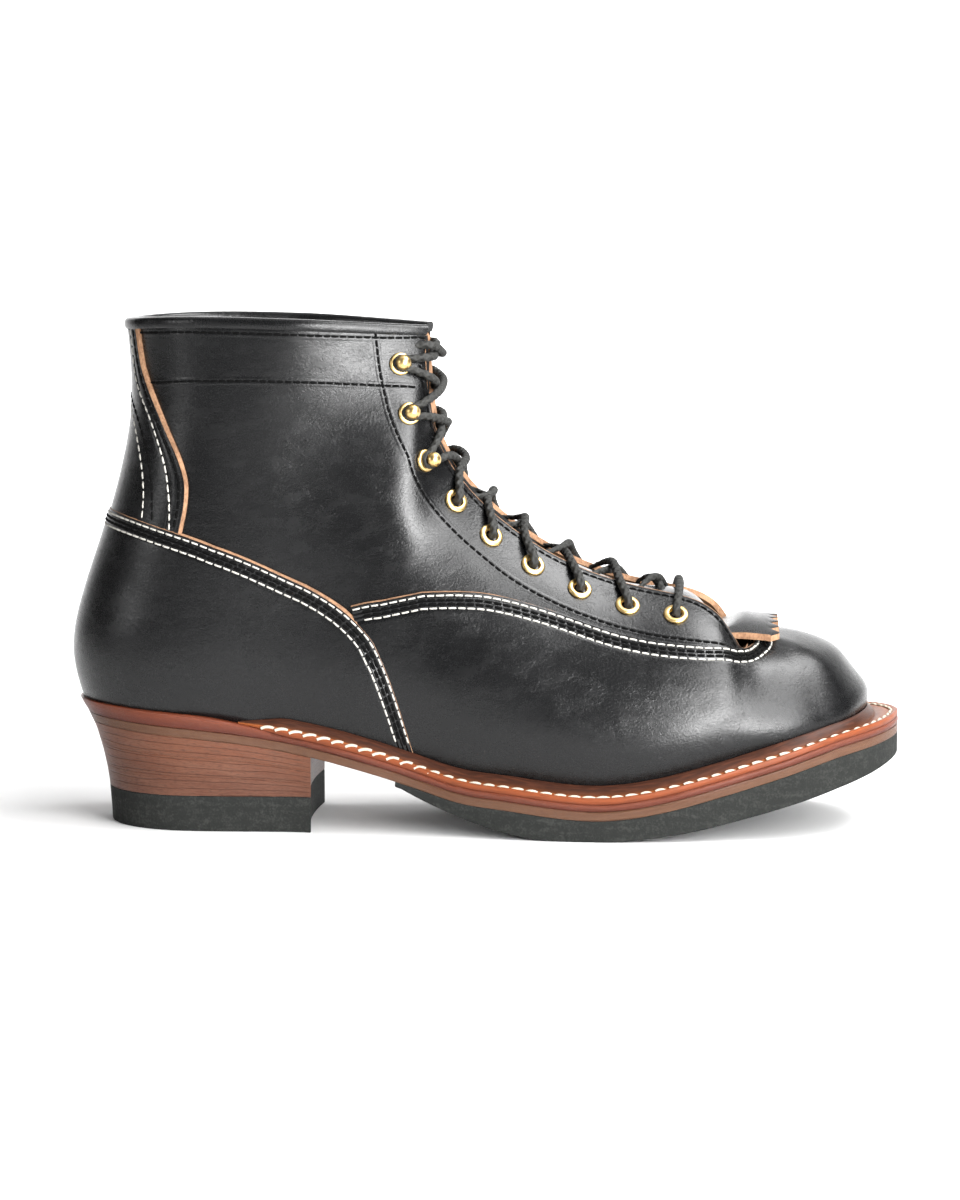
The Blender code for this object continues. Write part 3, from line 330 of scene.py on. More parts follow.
class Skin:
    """The upper's outer face on a fine grid of stations and height shares."""

    def __init__(self):
        self.station = np.arange(-TIP - 1, TIP + 1.001, STATION_STEP)
        self.up = np.arange(-0.04, 1.081, UP_STEP)
        rings = np.interp(self.station % ROUND, np.arange(ROUND + 1), STATION_WAY)
        self.points = np.array([Spline(KNOTS, RING_SPLINE(way))(self.up) for way in rings])
        self.ease(*EASED_PART, EASED_OVER)
        self.normals = self.normals_of(self.points)
        dent = np.zeros(self.points.shape[:2])
        for a, a_up, b, b_up, width, depth in CREASES:
            for side in (1, -1):
                ends = self.at([side * a, side * b], [a_up, b_up])
                way = ends[1] - ends[0]
                share = np.clip((self.points - ends[0]) @ way / max(way @ way, 1e-9), 0, 1)
                off = np.linalg.norm(self.points - ends[0] - share[..., None] * way, axis=2)
                fade = np.sin(math.pi * np.clip(share, 0.02, 0.98)) ** 0.5 if a != b else 1.0
                dent -= depth * MM * fade * np.exp(-((off / (width * MM)) ** 2))
        self.points = self.points + self.normals * dent[..., None]
        self.normals = self.normals_of(self.points)

    def ease(self, low, high, sigma):
        """Smooths the last along the stations of one part of each side, as sanding does."""
        weights, reach = bell(sigma, STATION_STEP)
        inner = self.points[EXTRA:-EXTRA]
        padded = np.concatenate([inner[-reach - 1 : -1], inner, inner[1 : reach + 1]])
        eased = sum(w * padded[k : k + len(inner)] for k, w in enumerate(weights))
        eased = np.concatenate([eased[-EXTRA - 1 : -1], eased, eased[1 : EXTRA + 1]])
        turned = from_seam(self.station)
        part = np.clip(np.minimum(turned - low, high - turned) / 0.8, 0, 1)
        part = (part * part * (3 - 2 * part))[:, None, None]
        self.points = self.points * (1 - part) + eased * part

    @staticmethod
    def normals_of(points):
        return unit(np.cross(np.gradient(points, axis=0), np.gradient(points, axis=1)))

    def at(self, station, up, height=0.0, normal=False):
        """Points at stations and height shares, this far outside the skin, or the normals there."""
        station = (np.asarray(station, float) + TIP) % ROUND - TIP
        i = (station - self.station[0]) / STATION_STEP
        j = np.clip((np.asarray(up, float) - self.up[0]) / UP_STEP, 0, len(self.up) - 1.001)
        i0, j0 = np.floor(i).astype(int), np.floor(j).astype(int)
        a, b = (i - i0)[..., None], (j - j0)[..., None]

        def read(grid):
            low = grid[i0, j0] * (1 - b) + grid[i0, j0 + 1] * b
            high = grid[i0 + 1, j0] * (1 - b) + grid[i0 + 1, j0 + 1] * b
            return low * (1 - a) + high * a

        out = unit(read(self.normals))
        if normal:
            return out
        points = read(self.points) + out * np.asarray(height, float)[..., None]
        points[..., 2] = np.maximum(points[..., 2], midsole_top(points[..., 0]) + GAP)
        return points

    def on(self, curve, height=0.0, normal=False):
        """The same for pairs of station and height share."""
        return self.at(curve[..., 0], curve[..., 1], height, normal)


skin = Skin()
print("skin grid:", skin.points.shape[:2])

# %% [markdown]
# ## Lines drawn on the skin
#
# A pattern cutter draws the edge of a panel and then steps rows of stitches in from it with dividers.
# We do the same: an edge is a short table of places, smoothed along its length, and `march` walks it
# inwards over the curved skin by real millimetres. Those rows then carry both the mesh and the thread.

# %% Edges of the panels: station, height share
COLLAR_END = 4.9
COLLAR_TABLE = [(0.0, 0.946), (1.0, 0.950), (2.0, 0.954), (3.0, 0.957), (4.0, 0.947), (4.6, 0.908),
                (4.9, 0.905)]
THROAT_EDGE = [(12.55, 0.665), (12.85, 0.740), (13.1, 0.960), (13.6, 0.990), (TIP, 1.000)]
VAMP_EDGE = [
    (4.6, 0.278), (5.0, 0.290), (5.5, 0.310), (6.0, 0.338), (6.5, 0.376), (7.0, 0.421), (7.5, 0.460),
    (8.0, 0.484), (8.5, 0.508), (9.0, 0.515), (10.0, 0.501), (10.5, 0.490), (11.0, 0.493),
    (11.5, 0.516), (12.1, 0.582), (12.5, 0.636), (12.85, 0.665), (13.1, 0.880), (13.6, 0.940),
    (TIP, 0.960),
]
COUNTER_EDGE = [
    (0.0, 0.479), (1.0, 0.475), (1.5, 0.466), (2.0, 0.453), (2.5, 0.435), (3.0, 0.415), (3.5, 0.383),
    (4.0, 0.336), (4.3, 0.300), (4.6, 0.263), (5.0, 0.213), (5.4, 0.168), (5.8, 0.099), (6.0, 0.054),
    (6.2, 0.000), (6.25, -0.020),
]
BACKSTAY_SIDE = [
    (2.42, 0.400), (2.42, 0.500), (2.36, 0.560), (2.22, 0.600), (2.05, 0.640), (1.80, 0.683),
    (1.60, 0.720), (1.40, 0.757), (1.20, 0.796), (1.00, 0.841), (0.90, 0.885), (0.85, 0.942),
]
# Facing rows from the collar to the throat: edge_at, edge_up, seam_at, seam_up.
FACINGS = np.array([
    (4.90, 0.905, 4.35, 0.915), (5.00, 0.833, 4.45, 0.800), (5.35, 0.764, 4.62, 0.690),
    (6.00, 0.762, 4.85, 0.615), (6.50, 0.769, 5.25, 0.555), (7.00, 0.772, 5.95, 0.545),
    (7.50, 0.772, 6.60, 0.551), (8.00, 0.770, 7.25, 0.556), (8.50, 0.764, 7.90, 0.546),
    (9.00, 0.765, 8.60, 0.545), (9.50, 0.774, 9.20, 0.543), (10.00, 0.771, 9.80, 0.535),
    (10.50, 0.756, 10.35, 0.520), (11.00, 0.745, 10.90, 0.515), (11.40, 0.731, 11.30, 0.530),
    (11.80, 0.720, 11.65, 0.550), (12.15, 0.702, 12.00, 0.580), (12.40, 0.655, 12.30, 0.615),
])

# %% Walking along and across the skin
EASE_PITCH = 0.5
MARCH_STEP = 0.4
LOWEST_SHARE = -0.03


def both_sides(table):
    """A table from the back seam to the front, repeated on the inner side: front, back, front."""
    table = np.array(table, float)
    return np.vstack([table[::-1] * (-1, 1), table[1:] if table[0, 0] == 0 else table])


def round_front(table):
    """A table from the outer side to the tip, continued back along the inner side."""
    table = np.array(table, float)
    return np.vstack([table, (table * (-1, 1) + (ROUND, 0))[-2::-1]])


def even(curve, spacing, sigma=2.5, closed=False):
    """A curve on the skin with its points this many mm apart and its corners eased by sigma mm."""
    for pitch in (EASE_PITCH, spacing):
        way = ways(skin.on(curve))
        count = int(round(way[-1] / (pitch * MM))) + 1
        curve = read_line(np.linspace(0, way[-1], count), way, curve)
        if pitch == EASE_PITCH:
            weights, reach = bell(sigma, EASE_PITCH)
            if closed:
                turn = np.array([ROUND, 0])
                before, after = curve[-reach - 1 : -1] - turn, curve[1 : reach + 1] + turn
            else:
                before = 2 * curve[0] - curve[reach:0:-1]
                after = 2 * curve[-1] - curve[-2 : -reach - 2 : -1]
            padded = np.vstack([before, curve, after])
            curve = np.stack([np.convolve(column, weights, "valid") for column in padded.T], 1)
    return curve


def march(curve, insets, turn=1, closed=False):
    """Curves at these distances in mm to one side of a curve, measured over the skin."""
    rows, now, at = [], curve.copy(), 0.0
    for inset in insets:
        steps = max(1, math.ceil(abs(inset - at) / MARCH_STEP)) if abs(inset - at) > 1e-9 else 0
        for _ in range(steps):
            points = skin.on(now)
            if closed:
                way = np.roll(points[:-1], -1, 0) - np.roll(points[:-1], 1, 0)
                way = np.vstack([way, way[:1]])
            else:
                way = np.gradient(points, axis=0)
            side = unit(np.cross(skin.on(now, normal=True), way) * turn) * ((inset - at) / steps * MM)
            by_station = (skin.on(now + (0.05, 0)) - points) / 0.05
            by_up = (skin.on(now + (0, 0.01)) - points) / 0.01
            ss, su, uu, sx, ux = ((a * b).sum(1) for a, b in (
                (by_station, by_station), (by_station, by_up), (by_up, by_up), (by_station, side),
                (by_up, side)))
            span = ss * uu - su * su
            now = now + np.stack([(uu * sx - su * ux) / span, (ss * ux - su * sx) / span], 1)
            now[1:-1] = (now[:-2] + 2 * now[1:-1] + now[2:]) / 4
            now[:, 1] = np.maximum(now[:, 1], LOWEST_SHARE)
        rows.append(now.copy())
        at = inset
    return rows


def leveled(table, low, high, degree=3):
    """A table of places whose heights are fitted with one smooth curve over the length of the boot."""
    stations = np.arange(low, high + 0.001, 0.1)
    ups = read_table(table, stations)
    points = skin.at(stations, ups)
    wanted = np.polyval(np.polyfit(points[:, 0], points[:, 2], degree), points[:, 0])
    for _ in range(8):
        climb = (skin.at(stations, ups + 0.01)[:, 2] - skin.at(stations, ups)[:, 2]) / 0.01
        ups = ups + (wanted - skin.at(stations, ups)[:, 2]) / climb
    return list(zip(stations, ups))


def edge_up(table, station):
    return read_table(table, from_seam(station))


COLLAR_EDGE = leveled(COLLAR_TABLE, 0.0, COLLAR_END)
TOP_EDGE = COLLAR_EDGE[:-1] + [tuple(row[:2]) for row in FACINGS] + THROAT_EDGE
print("counter edge: %d points" % len(even(both_sides(COUNTER_EDGE), 1.0)))

# %% [markdown]
# ## Meshes from grids
#
# Nearly everything on a boot is a sheet with two faces, or a band swept along a line. Both are grids of
# points, so two helpers make them all. Corners of the grid that fall together are merged afterwards, and
# normals are made to point outwards once the shape is closed.

# %% Mesh helpers
MERGE = 1e-6


def object_of(name, points, faces, materials, face_material=None, corner_uv=None, merge=MERGE, sharp=38):
    """A mesh object at the origin, merged, closed and smooth but for its sharp edges."""
    mesh = bpy.data.meshes.new(name)
    mesh.from_pydata(np.asarray(points, float).reshape(-1, 3).tolist(), [], [list(f) for f in faces])
    if face_material is not None:
        mesh.polygons.foreach_set("material_index", np.asarray(face_material, np.int32))
    if corner_uv is not None:
        mesh.uv_layers.new(name="way").data.foreach_set("uv", np.asarray(corner_uv, np.float32).ravel())
    bm = bmesh.new()
    bm.from_mesh(mesh)
    bmesh.ops.remove_doubles(bm, verts=bm.verts, dist=merge)
    bmesh.ops.recalc_face_normals(bm, faces=bm.faces)
    bm.to_mesh(mesh)
    bm.free()
    for material in materials:
        mesh.materials.append(material)
    mesh.shade_smooth()
    mesh.set_sharp_from_angle(angle=math.radians(sharp))
    return show(bpy.data.objects.new(name, mesh))


def show(obj):
    """Puts an object in the scene."""
    bpy.context.scene.collection.objects.link(obj)
    return obj


def dress(obj, slot, *nodes):
    """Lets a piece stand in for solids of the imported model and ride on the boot."""
    if nodes:
        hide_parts(*nodes)
    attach(obj, "root")


def quad_indices(rows, count, wrap=False):
    """Row and column of each quad of a grid, and its next column. A wrapped grid closes each row."""
    i, j = np.meshgrid(np.arange(rows - 1), np.arange(count if wrap else count - 1), indexing="ij")
    return i, j, (j + 1) % count


def grid_faces(rows, count, base=0, flip=False, wrap=False):
    """Quads of a grid with rows of count points, as indices."""
    i, j, k = quad_indices(rows, count, wrap)
    quads = np.stack([i * count + j, i * count + k, (i + 1) * count + k, (i + 1) * count + j], -1)
    quads = quads.reshape(-1, 4) + base
    return quads[:, ::-1] if flip else quads


def corners(u, v):
    """UVs of the corners of quads, from four grids each, in the order of grid_faces."""
    return np.stack([np.stack(u, -1), np.stack(v, -1)], -1).reshape(-1, 2)


def sheet_object(name, outer, inner, materials, raw_rows=0, raw_sides=("first",), back=0, closed=False,
                 merge=MERGE):
    """A sheet between two grids of points. Grid rows run along the sheet's edge, and the first
    raw_rows of them, with the rims named in raw_sides, show the raw leather of materials[1]."""
    rows, count = outer.shape[:2]
    size = rows * count
    faces = [grid_faces(rows, count), grid_faces(rows, count, size, flip=True)]
    looks = [np.repeat((np.arange(rows - 1) < raw_rows).astype(int), count - 1),
             np.full(len(faces[1]), back)]
    rims = {"first": np.arange(count), "last": np.arange(count) + (rows - 1) * count}
    if not closed:
        rims.update(left=np.arange(rows) * count, right=np.arange(rows) * count + count - 1)
    for side, run in rims.items():
        rim = np.stack([run[:-1], run[1:], run[1:] + size, run[:-1] + size], 1)
        faces.append(rim)
        looks.append(np.full(len(rim), int(side in raw_sides)))
    points = np.concatenate([outer.reshape(-1, 3), inner.reshape(-1, 3)])
    return object_of(name, points, np.vstack(faces), materials, np.concatenate(looks), merge=merge)


def sweep_object(name, rings, materials, measure=None, sharp=38):
    """A band of rings of points with closed ends. Its UV map holds the way along and the way round,
    both in metres, or the given measure of each point of the section."""
    rings = np.asarray(rings, float)
    count, sides = rings.shape[:2]
    way = ways(rings.mean(1))
    step = np.linalg.norm(np.roll(rings, -1, 1) - rings, axis=2).mean(0)
    around = np.concatenate([[0], np.cumsum(step)]) if measure is None else measure
    i, j, _ = quad_indices(count, sides, wrap=True)
    faces = grid_faces(count, sides, wrap=True).tolist()
    uvs = corners((way[i], way[i], way[i + 1], way[i + 1]),
                  (around[j], around[j + 1], around[j + 1], around[j])).tolist()
    for first in (0, (count - 1) * sides):
        faces.append(list(range(first, first + sides)))
        uvs += [(0.0, around[j]) for j in range(sides)]
    return object_of(name, rings, faces, materials, corner_uv=uvs, sharp=sharp)


def revolved(name, profile, places, sides, materials):
    """The same turned profile of (radius, height) pairs, in mm, at each place, as one mesh."""
    profile = np.array(profile) * MM
    turn = np.linspace(0, 2 * math.pi, sides, endpoint=False)
    radius, height = profile[:, :1], profile[:, 1:]
    local = np.stack([radius * np.cos(turn), radius * np.sin(turn), np.repeat(height, sides, 1)], -1)
    quads = grid_faces(len(profile), sides, wrap=True)
    points, faces = [], []
    for origin, x, y, z in places:
        faces.append(quads + len(points) * len(profile) * sides)
        points.append(origin + local[..., :1] * x + local[..., 1:2] * y + local[..., 2:] * z)
    return object_of(name, np.array(points), np.vstack(faces), materials)

# %% [markdown]
# ## Shader maths as Python
#
# A node tree is a formula, and a formula reads better as one. `Socket` wraps an output so that `a * b`
# adds a Math node, also when a plain number comes first, and `Paint.node` makes any other kind of node.
# Only values that change over the surface are linked; everything constant is set on the shader itself.


# %% Socket and Paint
class Socket:
    """A shader value that can be added, multiplied and so on."""

    def __init__(self, paint, socket):
        self.paint, self.socket = paint, socket

    def math(self, operation, *values):
        return self.paint.node("ShaderNodeMath", {"operation": operation}, dict(enumerate(values)))

    def __add__(self, other):
        return self.math("ADD", self, other)

    def __sub__(self, other):
        return self.math("SUBTRACT", self, other)

    def __mul__(self, other):
        return self.math("MULTIPLY", self, other)

    def __truediv__(self, other):
        return self.math("DIVIDE", self, other)

    def __pow__(self, other):
        return self.math("POWER", self, other)

    def __rsub__(self, other):
        return self.math("SUBTRACT", other, self)

    def __rtruediv__(self, other):
        return self.math("DIVIDE", other, self)

    def __neg__(self):
        return self * -1.0

    __radd__, __rmul__ = __add__, __mul__

    def between(self, low, high):
        """0 below low, 1 above high and a smooth ramp between."""
        return self.paint.node(
            "ShaderNodeMapRange", {"interpolation_type": "SMOOTHSTEP"},
            {"Value": self, "From Min": low, "From Max": high},
        )


class Paint:
    """A material under construction, with its Principled shader."""

    def __init__(self, name, color, roughness, constants=None):
        self.material = bpy.data.materials.new(name)
        self.material.use_nodes = True
        self.tree = self.material.node_tree
        self.shader = self.tree.nodes["Principled BSDF"]
        self.shader.inputs["Base Color"].default_value = (*color, 1.0)
        self.shader.inputs["Roughness"].default_value = roughness
        for key, value in (constants or {}).items():
            self.shader.inputs[key].default_value = value
        self.material.diffuse_color = (*color, 1.0)

    def node(self, kind, settings=None, values=None, output=0):
        made = self.tree.nodes.new(kind)
        for key, value in (settings or {}).items():
            setattr(made, key, value)
        for key, value in (values or {}).items():
            if isinstance(value, Socket):
                self.tree.links.new(value.socket, made.inputs[key])
            else:
                made.inputs[key].default_value = value
        return Socket(self, made.outputs[output])

    def place(self, scale=(1, 1, 1), source="Object"):
        """Object coordinates, or the way along and round, scaled."""
        if source == "way":
            spot = self.node("ShaderNodeUVMap", {"uv_map": "way"})
        else:
            spot = self.node("ShaderNodeTexCoord", output="Object")
        return self.node("ShaderNodeMapping", values={"Vector": spot, "Scale": scale})

    def noise(self, scale, detail=2.0, stretch=(1, 1, 1), source="Object", distortion=0.0):
        return self.node("ShaderNodeTexNoise", values={
            "Vector": self.place(stretch, source), "Scale": scale, "Detail": detail,
            "Distortion": distortion})

    def cells(self, scale, feature="F1"):
        return self.node("ShaderNodeTexVoronoi", {"feature": feature},
                         {"Vector": self.place(), "Scale": scale})

    def blend(self, factor, low, high):
        """A colour between two, by a factor."""
        low, high = (v if isinstance(v, Socket) else (*v, 1.0) for v in (low, high))
        return self.node("ShaderNodeMix", {"data_type": "RGBA"},
                         {"Factor": factor, 6: low, 7: high}, output=2)

    def colored(self, value):
        self.tree.links.new(value.socket, self.shader.inputs["Base Color"])

    def rough(self, value):
        self.tree.links.new(value.socket, self.shader.inputs["Roughness"])

    def raised(self, height, distance, strength=1.0):
        """Relief of this depth in metres where height is 1."""
        bump = self.node("ShaderNodeBump", values={
            "Height": height, "Distance": distance, "Strength": strength}, output="Normal")
        self.tree.links.new(bump.socket, self.shader.inputs["Normal"])

# %% [markdown]
# ## Leathers
#
# Polished black leather is dark all the way down, so nearly all that shows is its gloss: a fine pebble
# of pores, slow cloudy changes of roughness, and pull marks. Its cut edge was never dyed and shows tan
# fibres. Both could be painted textures, but noise on object coordinates needs no seams.


# %% Black upper leather and its raw edge
def black_leather(name, relief=0.00010, shine=0.32):
    paint = Paint(name, (0.006, 0.006, 0.0065), 0.36, {
        "Coat Weight": 0.12, "Coat Roughness": 0.32, "Specular IOR Level": shine})
    fine = paint.noise(2600.0, 3.0)
    pebble = paint.cells(1500.0, "SMOOTH_F1")
    drift = paint.noise(38.0, 3.0, (1, 1, 0.6), distortion=0.4)
    wrinkle = paint.noise(620.0, 3.0, (1.0, 1.0, 1.9), distortion=1.4)
    worn = paint.noise(110.0, 4.0, (1.0, 1.0, 1.8)).between(0.42, 0.72)
    height = fine * 0.30 + pebble * 0.35 + wrinkle * (worn * 0.9 + 0.9)
    paint.raised(height, relief, 0.9)
    paint.rough((drift - 0.5) * 0.07 + (fine - 0.5) * 0.14 + worn * 0.04 + 0.26)
    paint.colored(paint.blend(drift.between(0.35, 0.7), (0.0034, 0.0035, 0.0038), (0.0042, 0.0043, 0.0046)))
    return paint.material


def raw_edge(name, light=(0.36, 0.20, 0.11), dark=(0.18, 0.09, 0.045)):
    paint = Paint(name, light, 0.85)
    fibre = paint.noise(1500.0, 3.0, (1, 1, 0.5))
    patch = paint.noise(160.0, 2.0)
    paint.colored(paint.blend((fibre * 0.6 + patch * 0.5 - 0.05).between(0.35, 0.65), dark, light))
    paint.raised(fibre, 0.0002)
    return paint.material


def lining_leather():
    paint = Paint("lining", (0.16, 0.085, 0.042), 0.7)
    fibre = paint.noise(900.0, 4.0)
    drift = paint.noise(45.0, 3.0)
    paint.colored(paint.blend(drift, (0.12, 0.06, 0.03), (0.20, 0.11, 0.055)))
    paint.raised(fibre, 0.0001)
    return paint.material


BLACK = black_leather("black_grain")
RAW = raw_edge("raw_edge")
LINING = lining_leather()

# %% [markdown]
# ## The quarters and their overlays
#
# The quarters are one hollow wall. Vamp, counter and backstay are laid on it, each with a skived, undyed
# edge and rows of stitches that pull the leather down into shallow furrows. The furrows are real
# geometry, cut by `furrowed`, because they catch long highlights that a bump alone would lose at the
# silhouette.

# %% Stitched rows, in mm in from an overlay's edge
WHITE_ROWS = (1.75, 6.3)
BLACK_ROWS = (3.3, 4.8)
BAND = [0, 0.32, 0.6, 1.0, 1.4, 1.75, 2.1, 2.5, 2.95, 3.3, 3.65, 4.05, 4.45, 4.8, 5.15, 5.55, 5.95, 6.3,
        6.65, 7.1, 8.0]
FURROW_WIDTH = 0.42
FURROW_DEPTH = 0.34
LIP = 0.55
FIRM = 5
UNDERSIDE = 0.00005
BOTTOM_SHARE = -0.02


def furrowed(inset, thickness, rows, edge=0.32):
    """The height in metres over the skin of an overlay's face, this many mm in from its edge."""
    inset = np.asarray(inset, float)
    height = thickness / MM * np.interp(inset, [0, edge, 2.5 * edge], [LIP, 0.95, 1.0])
    for row in rows:
        height = height - FURROW_DEPTH * np.exp(-(((inset - row) / FURROW_WIDTH) ** 2))
    return height * MM


def fill_rows(last, bottom, count):
    """Rows in equal steps from one curve to another."""
    return [last + (bottom - last) * (k / count) for k in range(1, count + 1)]


def straight_down(curve):
    """The same stations at the quarters' lower edge."""
    return np.stack([curve[:, 0], np.full(len(curve), BOTTOM_SHARE)], 1)


def panel(name, lattice, heights, *sheet):
    """A sheet on the skin over a lattice of places, with a height over it for each row."""
    outer, inner = skin.on(lattice, heights[:, None]), skin.on(lattice, UNDERSIDE)
    made = sheet_object(name, outer, inner, [BLACK, RAW], *sheet)
    print(name, len(made.data.polygons), "faces")
    return made


def overlay(name, edge, bottom, count, thickness, widths):
    """A panel laid on the skin: its edge, rows marched in from it, and equal rows to its bottom.
    widths gives the raw edge's width in mm for stations from the back seam."""
    curves = march(edge, BAND, -1)
    width = read_table(widths, from_seam(edge[:, 0]))
    for k in range(1, FIRM):
        eased = (BAND[k] - BAND[1]) * (BAND[FIRM] - width) / (BAND[FIRM] - BAND[1])
        curves[k] = curves[0] + (curves[FIRM] - curves[0]) * ((width + eased) / BAND[FIRM])[:, None]
    lattice = np.array(curves + fill_rows(curves[-1], bottom(curves[-1]), count))
    heights = np.append(furrowed(BAND, thickness, WHITE_ROWS + BLACK_ROWS), [thickness] * count)
    ragged = np.random.default_rng(len(name)).normal(0, 0.05, lattice.shape[1])
    ragged = np.convolve(ragged, np.ones(3) / 3, "same") * 4
    lattice[1] += (lattice[2] - lattice[1]) * ragged[:, None]
    return panel(name, lattice, heights, 1)

# %% Vamp, counter and backstay
STRAP_THICKNESS = OVERLAY - 0.0004
STRAP_BAND = [0, 0.85, 1.25, 1.6, 2.1, 2.5, 2.9, 3.4, 4.2, 5.2, 5.8, 6.2, 6.6, 7.2]
UNDER_COUNTER = 6.2


def vamp_bottom(curve):
    """The vamp ends under the counter at the back and at the sole in front."""
    made = straight_down(curve)
    covered = from_seam(curve[:, 0]) < UNDER_COUNTER + 0.01
    low = np.maximum(edge_up(COUNTER_EDGE, curve[:, 0]) - 0.035, BOTTOM_SHARE)
    made[covered, 1] = low[covered]
    return made


COUNTER_LINE = even(both_sides(COUNTER_EDGE), 0.9, sigma=5)
VAMP_LINE = even(round_front(VAMP_EDGE), 0.9, sigma=5)
vamp = overlay("vamp_leather", VAMP_LINE, vamp_bottom, 26, OVERLAY - 0.0002, [(0, 0.5)])
counter = overlay("counter_leather", COUNTER_LINE, straight_down, 26, OVERLAY,
                  [(0, 0.5), (3.8, 0.6), (5.0, 1.1), (6.2, 1.35)])


def backstay():
    """The strap up the back seam: both raw sides, meeting at the seam."""
    side = even(np.array(BACKSTAY_SIDE), 0.9)
    curves = march(side, STRAP_BAND, 1)
    curves += fill_rows(curves[-1], side * (0, 1), 8)
    for curve in curves:
        curve[:, 0] = np.maximum(curve[:, 0], 0.0)
    heights = [*furrowed(STRAP_BAND, STRAP_THICKNESS, (2.9, 6.2), edge=0.85)] + [STRAP_THICKNESS] * 8
    lattice = np.array(curves + [c * (-1, 1) for c in curves[-2::-1]])
    made = panel("backstay_leather", lattice, np.array(heights + heights[-2::-1]), 1, ("first", "last"))
    rows, count = len(lattice) - 1, lattice.shape[1] - 1
    for face in made.data.polygons[(rows - 1) * count : rows * count]:
        face.material_index = 1
    return made


for piece, node in ((vamp, "vamp"), (counter, "counter"), (backstay(), "backstay")):
    dress(piece, "black_leather", node)

# %% Eyelet and hook places on the skin
EYELETS = [(10.55, 0.625, 12.20), (9.78, 0.635, 10.70), (9.02, 0.640, 9.20), (8.28, 0.643, 7.75),
           (7.50, 0.645, 6.30), (6.72, 0.645, 5.00)]
HOOKS = [(5.65, 0.620, 3.60), (4.88, 0.690, 2.35), (4.65, 0.815, 1.05)]


def brass_place(station, up, height):
    """Origin and axes of a place on the skin, with the third axis pointing out of it."""
    z = skin.at(station, up, normal=True)
    x = unit(np.cross((0, 0, 1), z))
    return skin.at(station, up, height), x, np.cross(z, x), z

# %% The quarters
RIM_INSETS = [0, 0.35, 0.7, 1.2, 1.6, 2.0, 2.8, 4.0, 6.0]
RIM_FURROW = np.array([0, 0, 0.1, 0.8, 1.0, 0.7, 0, 0, 0]) * -0.00006
FACING_STATIONS = (5.0, 13.0)


def quarters():
    """One hollow wall: its rim rolls in, and the facings carry a furrow along it. The leather is left
    whole behind the eyelets, without holes."""
    line = even(round_front(TOP_EDGE), 1.15, sigma=1.6, closed=True)
    curves = march(line, RIM_INSETS, -1, closed=True)
    on_facing = np.abs(from_seam(line[:, 0]) - np.mean(FACING_STATIONS)) < np.ptp(FACING_STATIONS) / 2
    lattice = np.array(curves + fill_rows(curves[-1], straight_down(curves[-1]), 42))
    height = np.zeros(lattice.shape[:2])
    rolled = np.interp(RIM_INSETS, [0, 0.35, 0.7], [-0.00012, -0.00002, 0.0])
    height[: len(RIM_INSETS)] = rolled[:, None] + RIM_FURROW[:, None] * on_facing
    return sheet_object("quarters", skin.on(lattice, height), skin.on(lattice, -WALL),
                        [BLACK, RAW, LINING], 1, back=2, closed=True, merge=2e-5)


upper = quarters()
print("quarters:", len(upper.data.polygons), "faces")
dress(upper, "black_leather", "upper")

# %% [markdown]
# ## Thread
#
# The seams are lockstitch: each stitch rises out of one hole, lies on the leather and dives into the
# next. A texture could fake the rows, but their shadows and the way they sink into the furrows make the
# boot look sewn. One Geometry Nodes tree sets the same bent stitch on every place it is given.

# %% Where the stitches go
AHEAD = 0.8 * MM


def evenly(points, pitch):
    """Places this many mm apart along a line of points, and the direction of the line there."""
    way = ways(points)
    count = max(1, int(way[-1] / (pitch * MM)))
    spots = (np.arange(count) + 0.5) * way[-1] / count
    place, ahead, behind = (read_line(spots + step, way, points) for step in (0, AHEAD, -AHEAD))
    return place, ahead - behind, spots / way[-1]


def seam(curve, pitch, height, keep=None):
    """Stitch places along a curve on the skin: place, direction and outward way of each."""
    place, ahead, share = evenly(skin.on(curve, height), pitch)
    way = ways(skin.on(curve))
    at = read_line(share * way[-1], way, curve)
    kept = np.ones(len(at), bool) if keep is None else keep(at)
    return place[kept], ahead[kept], skin.on(at, normal=True)[kept]


def mirrored(curve):
    return curve * (-1, 1)


